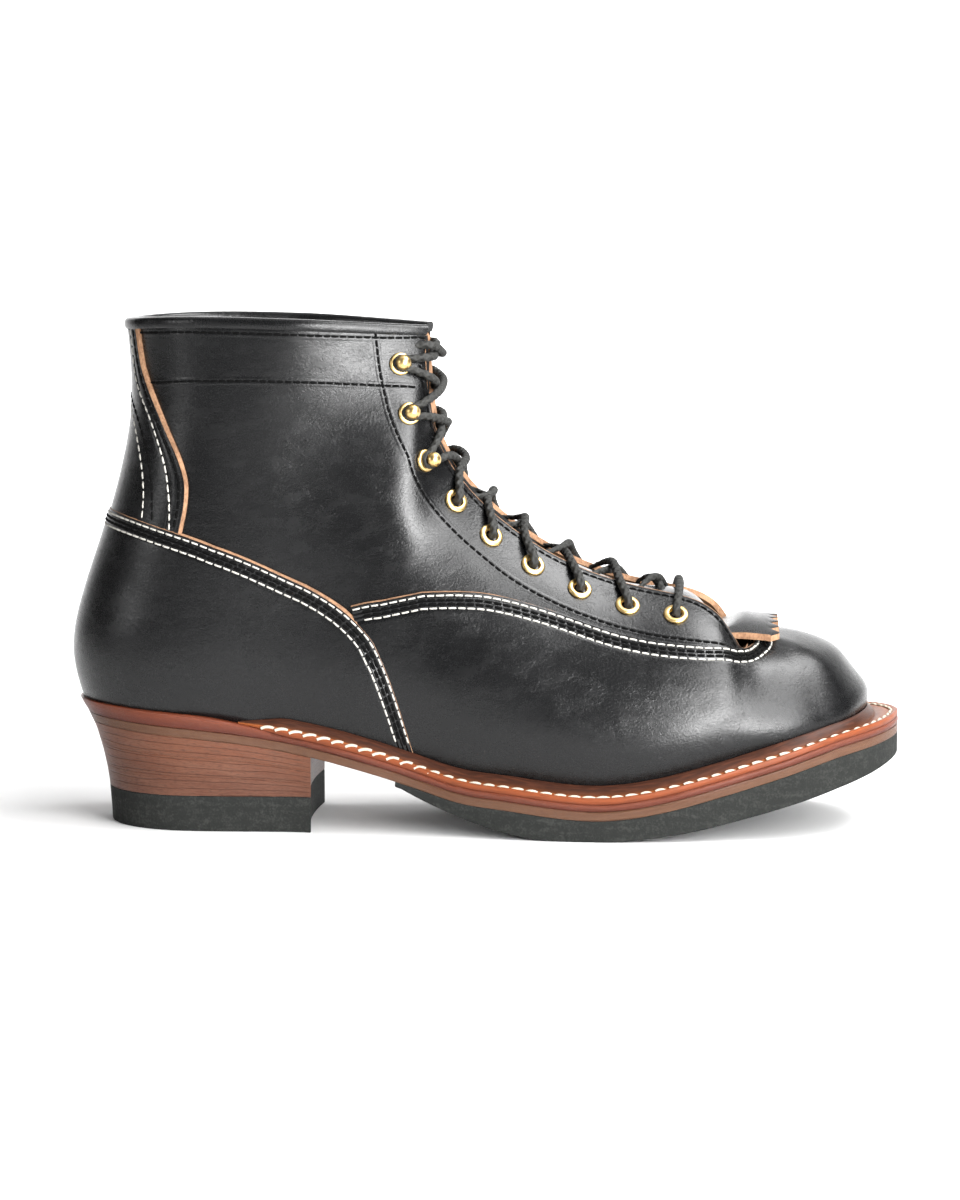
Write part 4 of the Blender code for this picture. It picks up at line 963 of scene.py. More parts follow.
# %% The stitch tree
def stitch_tree():
    """Instances of one bent stitch on points that know their way along and out of the leather."""
    tree = bpy.data.node_groups.new("stitches", "GeometryNodeTree")
    tree.interface.new_socket("Geometry", in_out="OUTPUT", socket_type="NodeSocketGeometry")
    for name, kind in (("Geometry", "Geometry"), ("Length", "Float"), ("Thickness", "Float"),
                       ("Rise", "Float"), ("Uneven", "Float"), ("Seed", "Int"), ("Thread", "Material")):
        tree.interface.new_socket(name, in_out="INPUT", socket_type="NodeSocket" + kind)

    def node(kind, inputs=None, **settings):
        """A node's outputs. Its inputs are linked where a socket is given and set otherwise."""
        made = tree.nodes.new(kind)
        for key, value in settings.items():
            setattr(made, key, value)
        for key, value in (inputs or {}).items():
            if isinstance(value, bpy.types.NodeSocket):
                tree.links.new(value, made.inputs[key])
            else:
                made.inputs[key].default_value = value
        return made.outputs

    def sized(name, factor):
        return node("ShaderNodeMath", {0: given[name], 1: factor}, operation="MULTIPLY")[0]

    def vector(**parts):
        return node("ShaderNodeCombineXYZ", parts)[0]

    given = node("NodeGroupInput")
    sunk = sized("Rise", -1.0)
    bow = node("GeometryNodeCurveQuadraticBezier", {
        "Resolution": 6, "Start": vector(X=sized("Length", -0.5), Z=sunk),
        "Middle": vector(Z=sized("Rise", 1.7)), "End": vector(X=sized("Length", 0.5), Z=sunk)})[0]
    circle = node("GeometryNodeCurvePrimitiveCircle",
                  {"Resolution": 7, "Radius": sized("Thickness", 0.5)})[0]
    stitch = node("GeometryNodeCurveToMesh", {"Curve": bow, "Profile Curve": circle, "Fill Caps": True})[0]
    way, out = (node("GeometryNodeInputNamedAttribute", {"Name": name}, data_type="FLOAT_VECTOR")[0]
                for name in ("way", "out"))
    turn = node("FunctionNodeAxesToRotation", {0: out, 1: way}, primary_axis="Z", secondary_axis="X")[0]
    low, high = (node("ShaderNodeMath", {0: 1.0, 1: given["Uneven"]}, operation=operation)[0]
                 for operation in ("SUBTRACT", "ADD"))
    random = node("FunctionNodeRandomValue", {2: low, 3: high, "Seed": given["Seed"]}, data_type="FLOAT")[1]
    placed = node("GeometryNodeInstanceOnPoints", {
        "Points": given["Geometry"], "Instance": stitch, "Rotation": turn,
        "Scale": vector(X=random, Y=1.0, Z=1.0)})[0]
    real = node("GeometryNodeRealizeInstances", {"Geometry": placed})[0]
    smooth = node("GeometryNodeSetShadeSmooth", {"Geometry": real})[0]
    dyed = node("GeometryNodeSetMaterial", {"Geometry": smooth, "Material": given["Thread"]})[0]
    node("NodeGroupOutput", {"Geometry": dyed})
    return tree


STITCHES = stitch_tree()


def bake(obj):
    """Turns what an object's modifiers make into its plain mesh."""
    bpy.context.view_layer.update()
    graph = bpy.context.evaluated_depsgraph_get()
    obj.data = bpy.data.meshes.new_from_object(obj.evaluated_get(graph))
    obj.modifiers.clear()


def sew(name, runs, thread, slot, length, thickness, rise, uneven=0.06, seed=7):
    """Stitches on all these runs of places, as one plain mesh. Sizes are in mm."""
    place, way, out = (np.concatenate([run[k] for run in runs]) for k in range(3))
    mesh = bpy.data.meshes.new(name)
    mesh.from_pydata(place.tolist(), [], [])
    for key, values in (("way", way), ("out", out)):
        mesh.attributes.new(key, "FLOAT_VECTOR", "POINT").data.foreach_set("vector", values.ravel())
    obj = show(bpy.data.objects.new(name, mesh))
    modifier = obj.modifiers.new("stitches", "NODES")
    modifier.node_group = STITCHES
    wanted = {"Length": length * MM, "Thickness": thickness * MM, "Rise": rise * MM, "Uneven": uneven,
              "Seed": seed, "Thread": thread}
    for item in STITCHES.interface.items_tree:
        if item.in_out == "INPUT" and item.name in wanted:
            modifier[item.identifier] = wanted[item.name]
    bake(obj)
    obj.data.name = name
    dress(obj, slot)
    obj.data.calc_loop_triangles()
    print(name, len(place), "stitches,", len(obj.data.loop_triangles), "triangles")


def thread_material(name, color, shine=0.4):
    paint = Paint(name, color, 0.8, {"Specular IOR Level": shine})
    twist = paint.noise(2200.0, 2.0)
    paint.raised(twist, 0.00012)
    paint.colored(paint.blend(twist, dimmed(color, 0.72), color))
    return paint.material


WHITE_THREAD = thread_material("white_thread", (0.60, 0.58, 0.53))
CREAM_THREAD = thread_material("cream_thread", (0.62, 0.55, 0.44))
BLACK_THREAD = thread_material("black_thread", (0.003, 0.003, 0.003), 0.08)

# %% [markdown]
# ## Rows of stitches on the panels
#
# Vamp and counter carry four rows each: white thread outside, black inside, all parallel to the cut
# edge. The strap at the back has its own rows, which bow towards the seam. Rows that pass under another
# panel stop at its edge.

# %% Sew the overlays
VAMP_SEW = OVERLAY - 0.0002 - 0.00012
COUNTER_SEW = OVERLAY - 0.00012
STAY_SEW = OVERLAY - 0.0004 - 0.00012
STAY_WHITE_1 = [(0.55, 0.942), (0.55, 0.860), (0.67, 0.808), (1.20, 0.736), (1.60, 0.660), (1.95, 0.580),
                (2.15, 0.490), (2.22, 0.440)]
STAY_WHITE_2 = [(0.0, 0.752), (0.45, 0.732), (0.95, 0.672), (1.33, 0.590), (1.55, 0.520), (1.65, 0.440)]
STAY_BLACK_2 = [(0.0, 0.775), (0.45, 0.758), (0.98, 0.704), (1.42, 0.624), (1.68, 0.548), (1.90, 0.440)]
PITCH = 3.4


def clear_of_counter(at):
    above = at[:, 1] > edge_up(COUNTER_EDGE, at[:, 0]) + 0.012
    return (from_seam(at[:, 0]) > COUNTER_EDGE[-1][0]) | above


def above_welt(at):
    return at[:, 1] > 0.035


def above_counter(at):
    return at[:, 1] > edge_up(COUNTER_EDGE, at[:, 0]) + 0.003


white, black = [], []
for row, runs in ((WHITE_ROWS, white), (BLACK_ROWS, black)):
    for line, height, keep in (
        (VAMP_LINE, VAMP_SEW, clear_of_counter), (COUNTER_LINE, COUNTER_SEW, above_welt),
    ):
        runs += [seam(curve, PITCH, height, keep) for curve in march(line, row, -1)]
for table, runs in ((STAY_WHITE_1, white), (STAY_WHITE_2, white), (STAY_BLACK_2, black)):
    row = even(np.array(table), 0.9, sigma=4)
    runs += [seam(curve, PITCH, STAY_SEW, above_counter) for curve in (row, mirrored(row))]
stay_edge = march(even(np.array(BACKSTAY_SIDE), 0.9), (2.9,), 1)[0]
black += [seam(curve, PITCH, STAY_SEW, above_counter) for curve in (stay_edge, mirrored(stay_edge))]
sew("white_rows", white, WHITE_THREAD, "cream_thread", 2.5, 0.70, 0.2)
sew("black_rows", black, BLACK_THREAD, "black_leather", 2.6, 0.95, 0.16)

# %% [markdown]
# ## Seams of the quarters
#
# The collar facing, the band below it and the eyelet stay are joined with black thread. Tight thread
# makes the leather puff up on both sides of a row. The quarters' own mesh is too coarse for that, so a
# thin strip with a furrow down its middle is laid over each row and fades into the skin at its edges.

# %% Puckered seams
BAND_TABLE = [(0.0, 0.800), (1.3, 0.804), (3.15, 0.824), (4.1, 0.804), (4.45, 0.772), (4.95, 0.745)]
PUCKER = [(-1.9, -0.05), (-1.3, 0.03), (-0.8, 0.07), (-0.4, 0.04), (0.0, -0.06), (0.4, 0.04),
          (0.8, 0.07), (1.3, 0.03), (1.9, -0.05), (1.6, -0.6), (-1.6, -0.6)]
COLLAR_ROW_DROP = 0.020


def puckered(curve, scale=1.0):
    """Rings of a low strip along a curve, with a furrow along its middle."""
    points, out = skin.on(curve), skin.on(curve, normal=True)
    side = unit(np.cross(out, np.gradient(points, axis=0)))
    return np.stack([points + (side * across + out * up * scale) * MM for across, up in PUCKER], 1)


facing_seam = even(np.vstack([FACINGS[:, 2:4], [[12.55, 0.60]]]), 0.9, sigma=4)
facing_edge = march(even(FACINGS[1:, :2], 0.9, sigma=4), (2.4,), -1)[0]
collar_row = even(both_sides([(at, up - COLLAR_ROW_DROP) for at, up in COLLAR_EDGE]), 0.9, sigma=3)
band_row = even(both_sides(leveled(BAND_TABLE, 0.0, 4.95)), 0.9, sigma=3)
black = []
for number, (curve, scale) in enumerate([
    (facing_seam, 1.2), (mirrored(facing_seam), 1.2), (band_row, 1.2), (collar_row, 1.0),
    (facing_edge, 1.0), (mirrored(facing_edge), 1.0),
]):
    dress(sweep_object("pucker_%d" % number, puckered(curve, scale), [BLACK], sharp=80), "black_leather")
    black.append(seam(curve, 3.0, UNDERSIDE))
sew("quarter_rows", black, BLACK_THREAD, "black_leather", 2.3, 0.9, 0.2, seed=11)

# %% [markdown]
# ## Binding, tongue and kiltie
#
# A rolled strip binds the collar. The tongue lies under the facings and the kiltie, a second tongue with
# a pinked front edge, lies between it and the lace to keep grit and sparks off. Both follow the gap
# between the facings, so they are lofted across it row by row.

# %% Collar binding
ROLL = [(0.15, -1.3), (0.55, -1.35), (0.85, -1.0), (0.98, -0.3), (1.0, 0.5), (0.9, 1.3), (0.6, 2.0),
        (0.05, 2.5), (-0.8, 2.75), (-1.6, 2.75), (-2.4, 2.5), (-2.95, 2.0), (-3.2, 1.2), (-3.25, 0.2),
        (-3.2, -0.8), (-2.9, -1.4), (-2.5, -1.2)]
OVER_BACKSTAY = [(0.95, 1.75), (1.35, 0.0)]


def binding():
    """A rolled strip over the collar's rim, which stands out further where it crosses the backstay."""
    stations = np.arange(-COLLAR_END, COLLAR_END + 0.001, 0.1)
    ups = read_table(COLLAR_EDGE, np.abs(stations))
    base, out = skin.at(stations, ups), skin.at(stations, ups, normal=True)
    rise = skin.at(stations, ups + 0.01) - skin.at(stations, ups - 0.01)
    rise = unit(rise - out * (rise * out).sum(1, keepdims=True))
    over = read_table(OVER_BACKSTAY, np.abs(stations))[:, None]
    rings = [base + (out * (across + over * (across > 0)) + rise * up) * MM for across, up in ROLL]
    return sweep_object("binding", np.stack(rings, 1), [BLACK])


dress(binding(), "black_leather", "collar_binding")

# %% Across the opening
OPENING = 0.5
ARCH_RISE = 0.0022
KILTIE_ROWS = [(0.8080, 1.138, 0.200, 0.080), (0.8250, 1.134, 0.208, 0.080), (0.8370, 1.130, 0.211, 0.080)]
KILTIE_END = (0.8510, 1.125, 0.213, 0.080)
KILTIE_FIRST, KILTIE_LAST, TEETH = 9, 15, 9


def facing_row(row):
    return np.array([np.interp(row, np.arange(len(FACINGS)), column) for column in FACINGS.T])


def facing_place(row, inward=0.0):
    """A place at a facing row: 0 is the facing's edge and 1 its seam."""
    given = facing_row(row)
    return given[:2] + (given[2:] - given[:2]) * inward


def facing_middle(row):
    place = facing_place(row)
    return (skin.on(place) + skin.on(mirrored(place))) / 2


def opening_section(row, depth, reach, across):
    """Points across the lacing at a facing row, and the way up there. Under the facings they lie at
    this depth below the skin, and between the facings' edges, at -0.5 and 0.5, they arch."""
    points = {}
    for side in (-1, 1):
        for share, t in ((reach, 1.0), (reach / 2, (1 + OPENING) / 2), (0.0, OPENING)):
            points[side * t] = skin.on(facing_place(row, share) * (-side, 1), -depth)
    left, right = points[-OPENING], points[OPENING]
    rise = unit(np.cross(facing_middle(row + 0.3) - facing_middle(row - 0.3), right - left))
    rise *= np.sign(rise[2])
    points[0.0] = (left + right) / 2 + rise * ARCH_RISE
    places = sorted(points)
    return Spline(places, [points[t] for t in places])(np.asarray(across, float)), rise


def tongue_depth(row):
    """How deep below the skin the tongue lies: deeper where the kiltie lies over it."""
    sink = float(read_table([(KILTIE_FIRST - 1.6, 0), (KILTIE_FIRST - 0.6, 1)], row))
    rim = float(read_table([(0, 0.0008), (1, 0)], row))
    return WALL + TONGUE_CLEARANCE + rim + sink * (KILTIE_THICKNESS + TONGUE_CLEARANCE + 3 * GAP)


across = np.linspace(-1, 1, 41)
faces = [np.array([opening_section(r, tongue_depth(r) + extra, 0.8, across)[0]
                   for r in np.arange(0, KILTIE_LAST + 0.01, 0.25)]) for extra in (0, TONGUE_THICKNESS)]
FLESH = Paint("flesh_side", (0.007, 0.007, 0.007), 0.9, {"Specular IOR Level": 0.1})
FLESH.raised(FLESH.noise(1600.0, 3.0), 0.0001)
dress(sheet_object("tongue_leather", *faces, [FLESH.material, RAW], raw_sides=()), "black_leather", "tongue")

# %% Kiltie with a pinked edge
FRONT_STEPS = (0.12, 0.35, 0.6, 0.85, 0.97, 1.0)


def kiltie_front(row, across):
    at, up, half, drop = row
    middle = SECTIONS["throat"][6] * BALL_WIDTH / 2
    return np.stack([
        np.full(len(across), along(at)), middle + across * half * BALL_WIDTH,
        (up - drop * np.abs(across) ** 1.8) * TOE_HEIGHT,
    ], 1)


def kiltie_face(lower, across, tooth):
    """One face of the kiltie, from under the lacing to its pinked front edge."""
    depth = WALL + TONGUE_CLEARANCE + 2 * GAP + lower
    down = np.array([0, 0, lower])
    rows = [opening_section(row, depth, 0.35 if row < KILTIE_LAST else 0.10, across)[0]
            for row in (9, 11, 13, 15)]
    rows = np.array(rows + [kiltie_front(row, across) - down for row in KILTIE_ROWS])
    knots = ways(rows[:, len(across) // 2])
    rows = Spline(knots, rows)(np.linspace(0, knots[-1], 37))
    last, step = rows[-1], kiltie_front(KILTIE_END, across) - down - rows[-1]
    front = [last + step * (tooth * part)[:, None] - np.array([0, 0, 0.0002]) * part for part in FRONT_STEPS]
    return np.concatenate([rows, front])


def kiltie():
    across = np.linspace(-1, 1, 8 * TEETH + 1)
    tooth = 1 - np.abs((np.arange(len(across)) / 8) % 1 - 0.5) * 2
    tooth = 0.25 + 0.75 * np.clip(1.15 * tooth - 0.05, 0, 1)
    upper_face, lower_face = (kiltie_face(lower, across, tooth) for lower in (0.0, KILTIE_THICKNESS))
    upper_face[-1, :, 2] -= 0.0003
    return sheet_object("kiltie_leather", upper_face, lower_face, [KILTIE_GREY, RAW],
                        raw_sides=("last", "left", "right"))


KILTIE_GREY = black_leather("kiltie_grain", 0.00003, 0.9)
dress(kiltie(), "black_leather", "kiltie")

# %% [markdown]
# ## Brass
#
# Eyelets and ball hooks are turned shapes. One profile each is swept round at every place, with more
# sides than the solids so that their rims reflect as clean circles. The brass is lacquered and a little
# cloudy with handling.


# %% Eyelets and hooks
def brass():
    paint = Paint("brass", (0.86, 0.55, 0.16), 0.24, {"Metallic": 1.0})
    cloud = paint.noise(260.0, 3.0)
    paint.rough(cloud * 0.22 + 0.22)
    paint.colored(paint.blend(cloud, (0.76, 0.51, 0.19), (0.92, 0.67, 0.30)))
    paint.raised(paint.noise(900.0, 2.0), 0.00002)
    return paint.material


BRASS = brass()
EYELET = [(2.1, -3.1), (2.15, -0.4), (2.25, 0.3), (2.4, 0.62), (2.65, 0.84), (3.0, 0.92), (3.6, 0.90),
          (4.1, 0.78), (4.38, 0.6), (4.5, 0.35), (4.5, -0.2), (2.6, -0.2), (2.6, -3.1), (2.1, -3.1)]
HOOK = [(0.0, 6.6), (0.7, 6.53), (1.4, 6.28), (2.0, 5.85), (2.45, 5.3), (2.72, 4.7), (2.8, 4.1),
        (2.72, 3.6), (2.4, 3.15), (1.9, 2.9), (1.5, 2.7), (1.4, 2.3), (1.4, 1.4), (1.6, 1.05),
        (2.1, 0.95), (3.5, 0.9), (3.9, 0.75), (4.1, 0.45), (4.1, -0.2), (0.0, -0.2)]
for spots, part, node, profile, lift in (
    (EYELETS, "ring", "eyelet", EYELET, 0.0002), (HOOKS, "ball", "hook", HOOK, 0.0003),
):
    for i, (at, up, _) in enumerate(spots, 1):
        for side, word in ((1, "outer"), (-1, "inner")):
            made = revolved(f"{part}_{word}_{i}", profile, [brass_place(side * at, up, lift)], 32, [BRASS])
            dress(made, "brass", f"{node}_{word}_{i}")

# %% [markdown]
# ## The lace
#
# One lace, threaded as in the photograph: a bar between the lowest eyelets, then out of each eyelet, over
# the gap and under the other facing to the next. At the hooks it goes round each neck instead. Each
# half is a smooth curve through named stops, and a braid of raised plies is pressed into its radius.

# %% Stops of the lace
LACE_RADIUS = 0.00155
OVER, UNDER, ON_BRASS, IN_HOLE = 0.0016, -0.0052, 0.0022, -0.001
ROUND_NECK = 0.0023
RING_STEP = 0.00042
PLY_PITCH = 0.0036
CORD_SIDES = 16


def above_gap(row, t, lift):
    """A stop between the facings: t runs from -1 at the far edge to 1 at the near edge."""
    depth = WALL + TONGUE_CLEARANCE if row >= KILTIE_FIRST - 0.6 else tongue_depth(row)
    place, rise = opening_section(row, depth, 0.35, [-t * OPENING])
    return place[0] + rise * lift


def lace_stops(side, top):
    """Stops of the half that starts at the bar on one side. top lifts one half over the other."""
    stops, thin = [], []

    def stop(point, hidden=False):
        stops.append(point)
        thin.append(hidden)

    def hole(place, sign):
        for height in ((UNDER, IN_HOLE, ON_BRASS) if sign > 0 else (ON_BRASS, IN_HOLE, UNDER)):
            stop(skin.at(side * place[0], place[1], height), height == UNDER)

    def brink(row, height, inward=0.0):
        stop(skin.on(facing_place(row, inward) * (side, 1), height), height < 0)

    stop(above_gap(EYELETS[0][2], 0.0, 0.0030))
    brink(EYELETS[0][2], 0.0021, 0.05)
    hole(EYELETS[0], -1)
    for k in range(1, 6):
        row, previous = EYELETS[k][2], EYELETS[k - 1][2]
        step = previous - row
        if k == 1:
            stop(above_gap(previous - 0.45 * step, 0.0, 0.0016 + top * 0.6))
        side = -side
        brink(row + 0.15 * step, -0.0019)
        brink(row + 0.05 * step, UNDER, 0.45)
        hole(EYELETS[k], 1)
        ahead = (EYELETS[k + 1][2] if k < 5 else HOOKS[0][2]) - row
        brink(row + 0.22 * ahead, OVER, 0.12)
        stop(above_gap(row + 0.5 * ahead, 0.0, 0.0020 + top))
    for k, (at, up, row) in enumerate(HOOKS):
        side = -side
        centre, _, _, out = brass_place(side * at, up, ON_BRASS)
        behind = EYELETS[5][2] if k == 0 else HOOKS[k - 1][2]
        ahead = HOOKS[k + 1][2] if k < 2 else 0.2
        brink(row + 0.28 * (behind - row), 0.0019, 0.05)
        toward = skin.on(facing_place(row) * (side, 1), ON_BRASS) - centre
        toward = unit(toward - out * (toward @ out))
        round_way = np.cross(out, toward)
        if round_way @ (facing_middle(behind) - facing_middle(ahead)) < 0:
            round_way = -round_way
        for degrees in (60, 120, 180, 240, 300):
            a = math.radians(degrees)
            lift = 0.0004 * (1 - (degrees - 60) / 120)
            place = centre + (toward * math.cos(a) + round_way * math.sin(a)) * ROUND_NECK + out * lift
            stop(place, 0.8 if 60 < degrees < 300 else 0.4)
        brink(row - 0.28 * (row - ahead), 0.0019, 0.05)
        stop(above_gap(row + 0.5 * (ahead - row), 0.0, 0.0020 + top))
    side = -side
    brink(0.35, 0.0008, 0.02)
    stop(skin.at(side * (COLLAR_END - 0.25), 0.86, UNDER), True)
    return np.array(stops), np.array(thin, float)


def cord(name, stops, thin):
    """Rings of a braided round cord through the stops, slimmer where thin says so."""
    gaps = np.linalg.norm(np.diff(stops, axis=0), axis=1)
    knots = np.concatenate([[0], np.cumsum(gaps ** 0.7)])
    fine = np.linspace(0, knots[-1], 6000)
    path = Spline(knots, stops)(fine)
    way = ways(path)
    spots = np.linspace(0, way[-1], int(way[-1] / RING_STEP))
    path = read_line(spots, way, path)
    slim = np.interp(np.interp(spots, way, fine), knots, thin)
    ahead = unit(np.gradient(path, axis=0))
    side, sides = np.cross(ahead[0], (0.3, 0.2, 1.0)), []
    for way_on in ahead:
        side = unit(side - way_on * (side @ way_on))
        sides.append(side)
    sides = np.array(sides)
    over = np.cross(ahead, sides)
    turn = np.linspace(0, 2 * math.pi, CORD_SIDES, endpoint=False)[None, :]
    phase = (spots / PLY_PITCH * 2 * math.pi)[:, None]
    plies = np.maximum(np.cos(3 * turn + phase), np.cos(3 * turn - phase))
    radius = (LACE_RADIUS - 0.00034 + 0.00044 * plies) * (1 - 0.5 * slim[:, None])
    print(name, "%.0f mm long," % (way[-1] / MM), len(spots) * 2 * CORD_SIDES, "triangles")
    return path[:, None] + radius[..., None] * (
        np.cos(turn)[..., None] * sides[:, None] + np.sin(turn)[..., None] * over[:, None])


def cord_material():
    paint = Paint("braided_cord", (0.010, 0.010, 0.009), 0.6, {"Specular IOR Level": 0.4})
    fibre = paint.noise(5200.0, 2.0)
    wear = paint.noise(300.0, 2.0)
    paint.raised(fibre, 0.00012)
    paint.colored(paint.blend(wear, (0.009, 0.009, 0.0085), (0.030, 0.030, 0.027)))
    return paint.material


CORD = cord_material()
crossings = ["lace_bar"] + ["lace_crossing_%d" % (i + 1) for i in range(8)]
for name, first, top, nodes in (("lace_one", 1, 0.0, crossings), ("lace_two", -1, 0.0030, [])):
    rings = cord(name, *lace_stops(first, top))
    dress(sweep_object(name, rings, [CORD], sharp=80), "black_cord", *nodes)

# %% [markdown]
# ## Welt, soles and heel
#
# The storm welt stands up against the upper as a bead and carries a thick cream stitch in a groove.
# Below it lie two leather soles and, at the back, the stacked lifts, trimmed together on one last pass,
# so that all of them share one outline. Each layer is a ring of wall with two covers.

# %% The outline of the soles
SOLE_REACH = [(0, 0.30), (3, 0.42), (4, 0.57), (5, 0.72), (6, 0.78), (7, 0.88), (8, 1.00), (12, 1.00),
              (14, 1.12), (TIP, 1.40)]
outline_stations = np.linspace(-TIP, TIP, 641)
feather = skin.at(outline_stations, 0 * outline_stations)[:, :2]
ahead = np.gradient(feather, axis=0)
ahead[0] = ahead[-1] = ahead[0] + ahead[-1]
feather_normal = unit(np.stack([ahead[:, 1], -ahead[:, 0]], 1))
reach = read_table(SOLE_REACH, np.abs(outline_stations)) * WELT_REACH
outline = feather + feather_normal * reach[:, None]


def undercut(points):
    """Draws points of the heel in as its rear and side walls do."""
    x, y, z = points[..., 0], points[..., 1], points[..., 2]
    share = np.clip((HEEL_BREAST - x) / (HEEL_BREAST - HEEL_REAR), 0, 1)
    drawn = read_table(UNDERCUTS, z / SEAT_HEIGHT)
    return np.stack([
        x + HEEL_UNDERCUT * drawn * share**1.5,
        y * (1 - 2 * HEEL_TAPER / HEEL_WIDTH * drawn * np.minimum(1, 2 * share)), z,
    ], -1)


def heel_shape(points):
    """The undercut, with the hollow of the heel's breast."""
    made = undercut(points)
    share = np.clip(1 - (HEEL_BREAST - points[..., 0]) / 0.012, 0, 1)
    hollow = np.maximum(1 - (2 * made[..., 1] / HEEL_WIDTH) ** 2, 0)
    made[..., 0] -= BREAST_HOLLOW * share * hollow
    return made

# %% A layer of the sole
CLIP_MARGIN = 0.0008
COLUMNS, WALL_ROWS = 9, 5


def halves(ring, first, last):
    """The outer and inner halves of a plan ring from back to front, clipped between two x places."""
    middle = len(ring) // 2
    sides = []
    for side in (ring[middle:], ring[middle::-1]):
        x = side[:, 0]
        order = np.argsort(x)
        part = side[(x > first + CLIP_MARGIN) & (x < last - CLIP_MARGIN)]
        ends = [[edge, np.interp(edge, x[order], side[order, 1])] if inside else side[at]
                for edge, inside, at in ((first, x.min() < first, 0), (last, x.max() > last, -1))]
        sides.append(np.vstack([ends[0], part, ends[1]]))
    count = max(len(s) for s in sides)
    return [read_line(np.linspace(0, 1, count), np.linspace(0, 1, len(s)), s) for s in sides]


def wall_rings(loop, up, low, rounding, bulge):
    """Rings of the wall between two heights, rounded at both edges and swollen between them."""
    ahead = np.roll(loop, -2, 0) - np.roll(loop, 2, 0)
    out = np.stack([ahead[:, 1], -ahead[:, 0]], 1)
    out /= np.maximum(np.linalg.norm(out, axis=1, keepdims=True), 1e-9)
    out *= np.sign(np.cross(loop, np.roll(loop, -1, 0)).sum())
    levels = [(rounding * 2.2, 0.0), (rounding, 0.0), (rounding * 0.3, 0.3), (0.0, 1.0)]
    rings = [(-inset, up - drop * rounding * MM) for inset, drop in levels]
    for share in np.arange(1, WALL_ROWS) / WALL_ROWS:
        heights = (up - rounding * MM) * (1 - share) + (low + rounding * MM) * share
        rings.append((bulge * math.sin(math.pi * share), heights))
    rings += [(-inset, low + drop * rounding * MM) for inset, drop in levels[::-1]]
    return np.array([np.column_stack([loop + out * swell * MM, heights]) for swell, heights in rings])


def layer(name, ring, first, last, top, bottom, materials, shape=None, rounding=0.3, bulge=0.0,
          share_of=None):
    """A layer of the sole: a rounded wall round a plan ring and two covers between its halves.
    Its UV map holds the way along the wall in metres and the height share."""
    outer, inner = halves(ring, first, last)
    n = len(outer)
    t = np.linspace(0, 1, COLUMNS)[:, None]
    back, front = (outer[k] * (1 - t) + inner[k] * t for k in (0, -1))
    loop = np.vstack([outer[:-1], front, inner[-2:0:-1], back[:0:-1]])
    rings = wall_rings(loop, top(loop[:, 0]), bottom(loop[:, 0]), rounding, bulge)
    measure = share_of or (lambda x, z: (z - bottom(x)) / np.maximum(top(x) - bottom(x), 1e-5))
    share, way = measure(rings[..., 0], rings[..., 2]), ways(loop)
    far = np.append(way[1:], way[-1] + 0.001)
    i, j, k = quad_indices(len(rings), len(loop), wrap=True)
    faces = grid_faces(len(rings), len(loop), wrap=True).tolist()
    uvs = [corners((way[j], far[j], far[j], way[j]),
                   (share[i, j], share[i, k], share[i + 1, k], share[i + 1, j]))]
    points = [rings.reshape(-1, 3)]
    for edge, height, cover in ((rings[0], 1.0, top), (rings[-1], 0.0, bottom)):
        mates = edge[n + COLUMNS - 2 : 2 * n + COLUMNS - 2][::-1]
        rows = edge[:n, None] * (1 - t) + mates[:, None] * t
        rows[-1] = edge[n - 1 : n - 1 + COLUMNS]
        rows[0] = np.vstack([edge[0], edge[-1:-COLUMNS:-1]])
        rows[..., 2] = cover(rows[..., 0])
        rows, quads = rows.reshape(-1, 3), grid_faces(n, COLUMNS)
        across = rows[quads.ravel(), 1]
        uvs.append(np.stack([across, np.full(len(across), height)], 1))
        faces += (quads + sum(map(len, points))).tolist()
        points.append(rows)
    points = np.concatenate(points)
    if shape:
        points = shape(points)
    return object_of(name, points, faces, materials, corner_uv=np.vstack(uvs), merge=3e-5, sharp=50)


# %% Sole leather, stacked leather and rubber
def sole_leather(name, low, middle, high, layers, line=0.6, gloss=0.38):
    """Edge-dyed leather: bands of layers up the wall, drawn-out fibres and a waxed shine. The colour goes
    from low at the foot of the wall to high at its top, which on the midsole is a painted highlight along
    its upper edge.
    """
    paint = Paint(name, middle, gloss, {
        "Coat Weight": 0.06, "Coat Roughness": 0.2, "Specular IOR Level": 0.25})
    share = paint.node("ShaderNodeSeparateXYZ", values={"Vector": paint.place(source="way")}, output=1)
    streak = paint.noise(1.0, 4.0, (120, 40, 1), source="way")
    slow = paint.noise(1.0, 3.0, (30, 3, 1), source="way")
    fine = paint.noise(1.0, 2.0, (420, 90, 1), source="way")
    phase = paint.node("ShaderNodeMath", {"operation": "FRACT"}, {0: share * layers + (slow - 0.5) * 0.9})
    seam_line = 1.0 - (phase - 0.5).math("ABSOLUTE", phase - 0.5) * 2.0
    groove = seam_line.between(0.0, 0.16)
    tone = (streak * 0.6 + slow * 0.4).between(0.36, 0.64)
    # Colour from low at the foot of the wall to high at its top: on the midsole the lighter top is a painted
    # highlight.
    color = paint.blend(share.between(0.1, 0.9), low, high)
    color = paint.blend(tone * 0.8, color, middle)
    color = paint.blend((1.0 - groove) * line, color, dimmed(low, 0.35))
    color = paint.blend(streak.between(0.50, 0.72) * 0.6, color, dimmed(middle, 0.45))
    paint.colored(paint.blend(fine.between(0.48, 0.70) * 0.55, color, dimmed(low, 0.4)))
    paint.rough(fine * 0.22 + slow * 0.12 + (gloss - 0.15))
    paint.raised(groove * 0.6 + streak * 0.5 + fine * 0.3, 0.00025)
    return paint.material


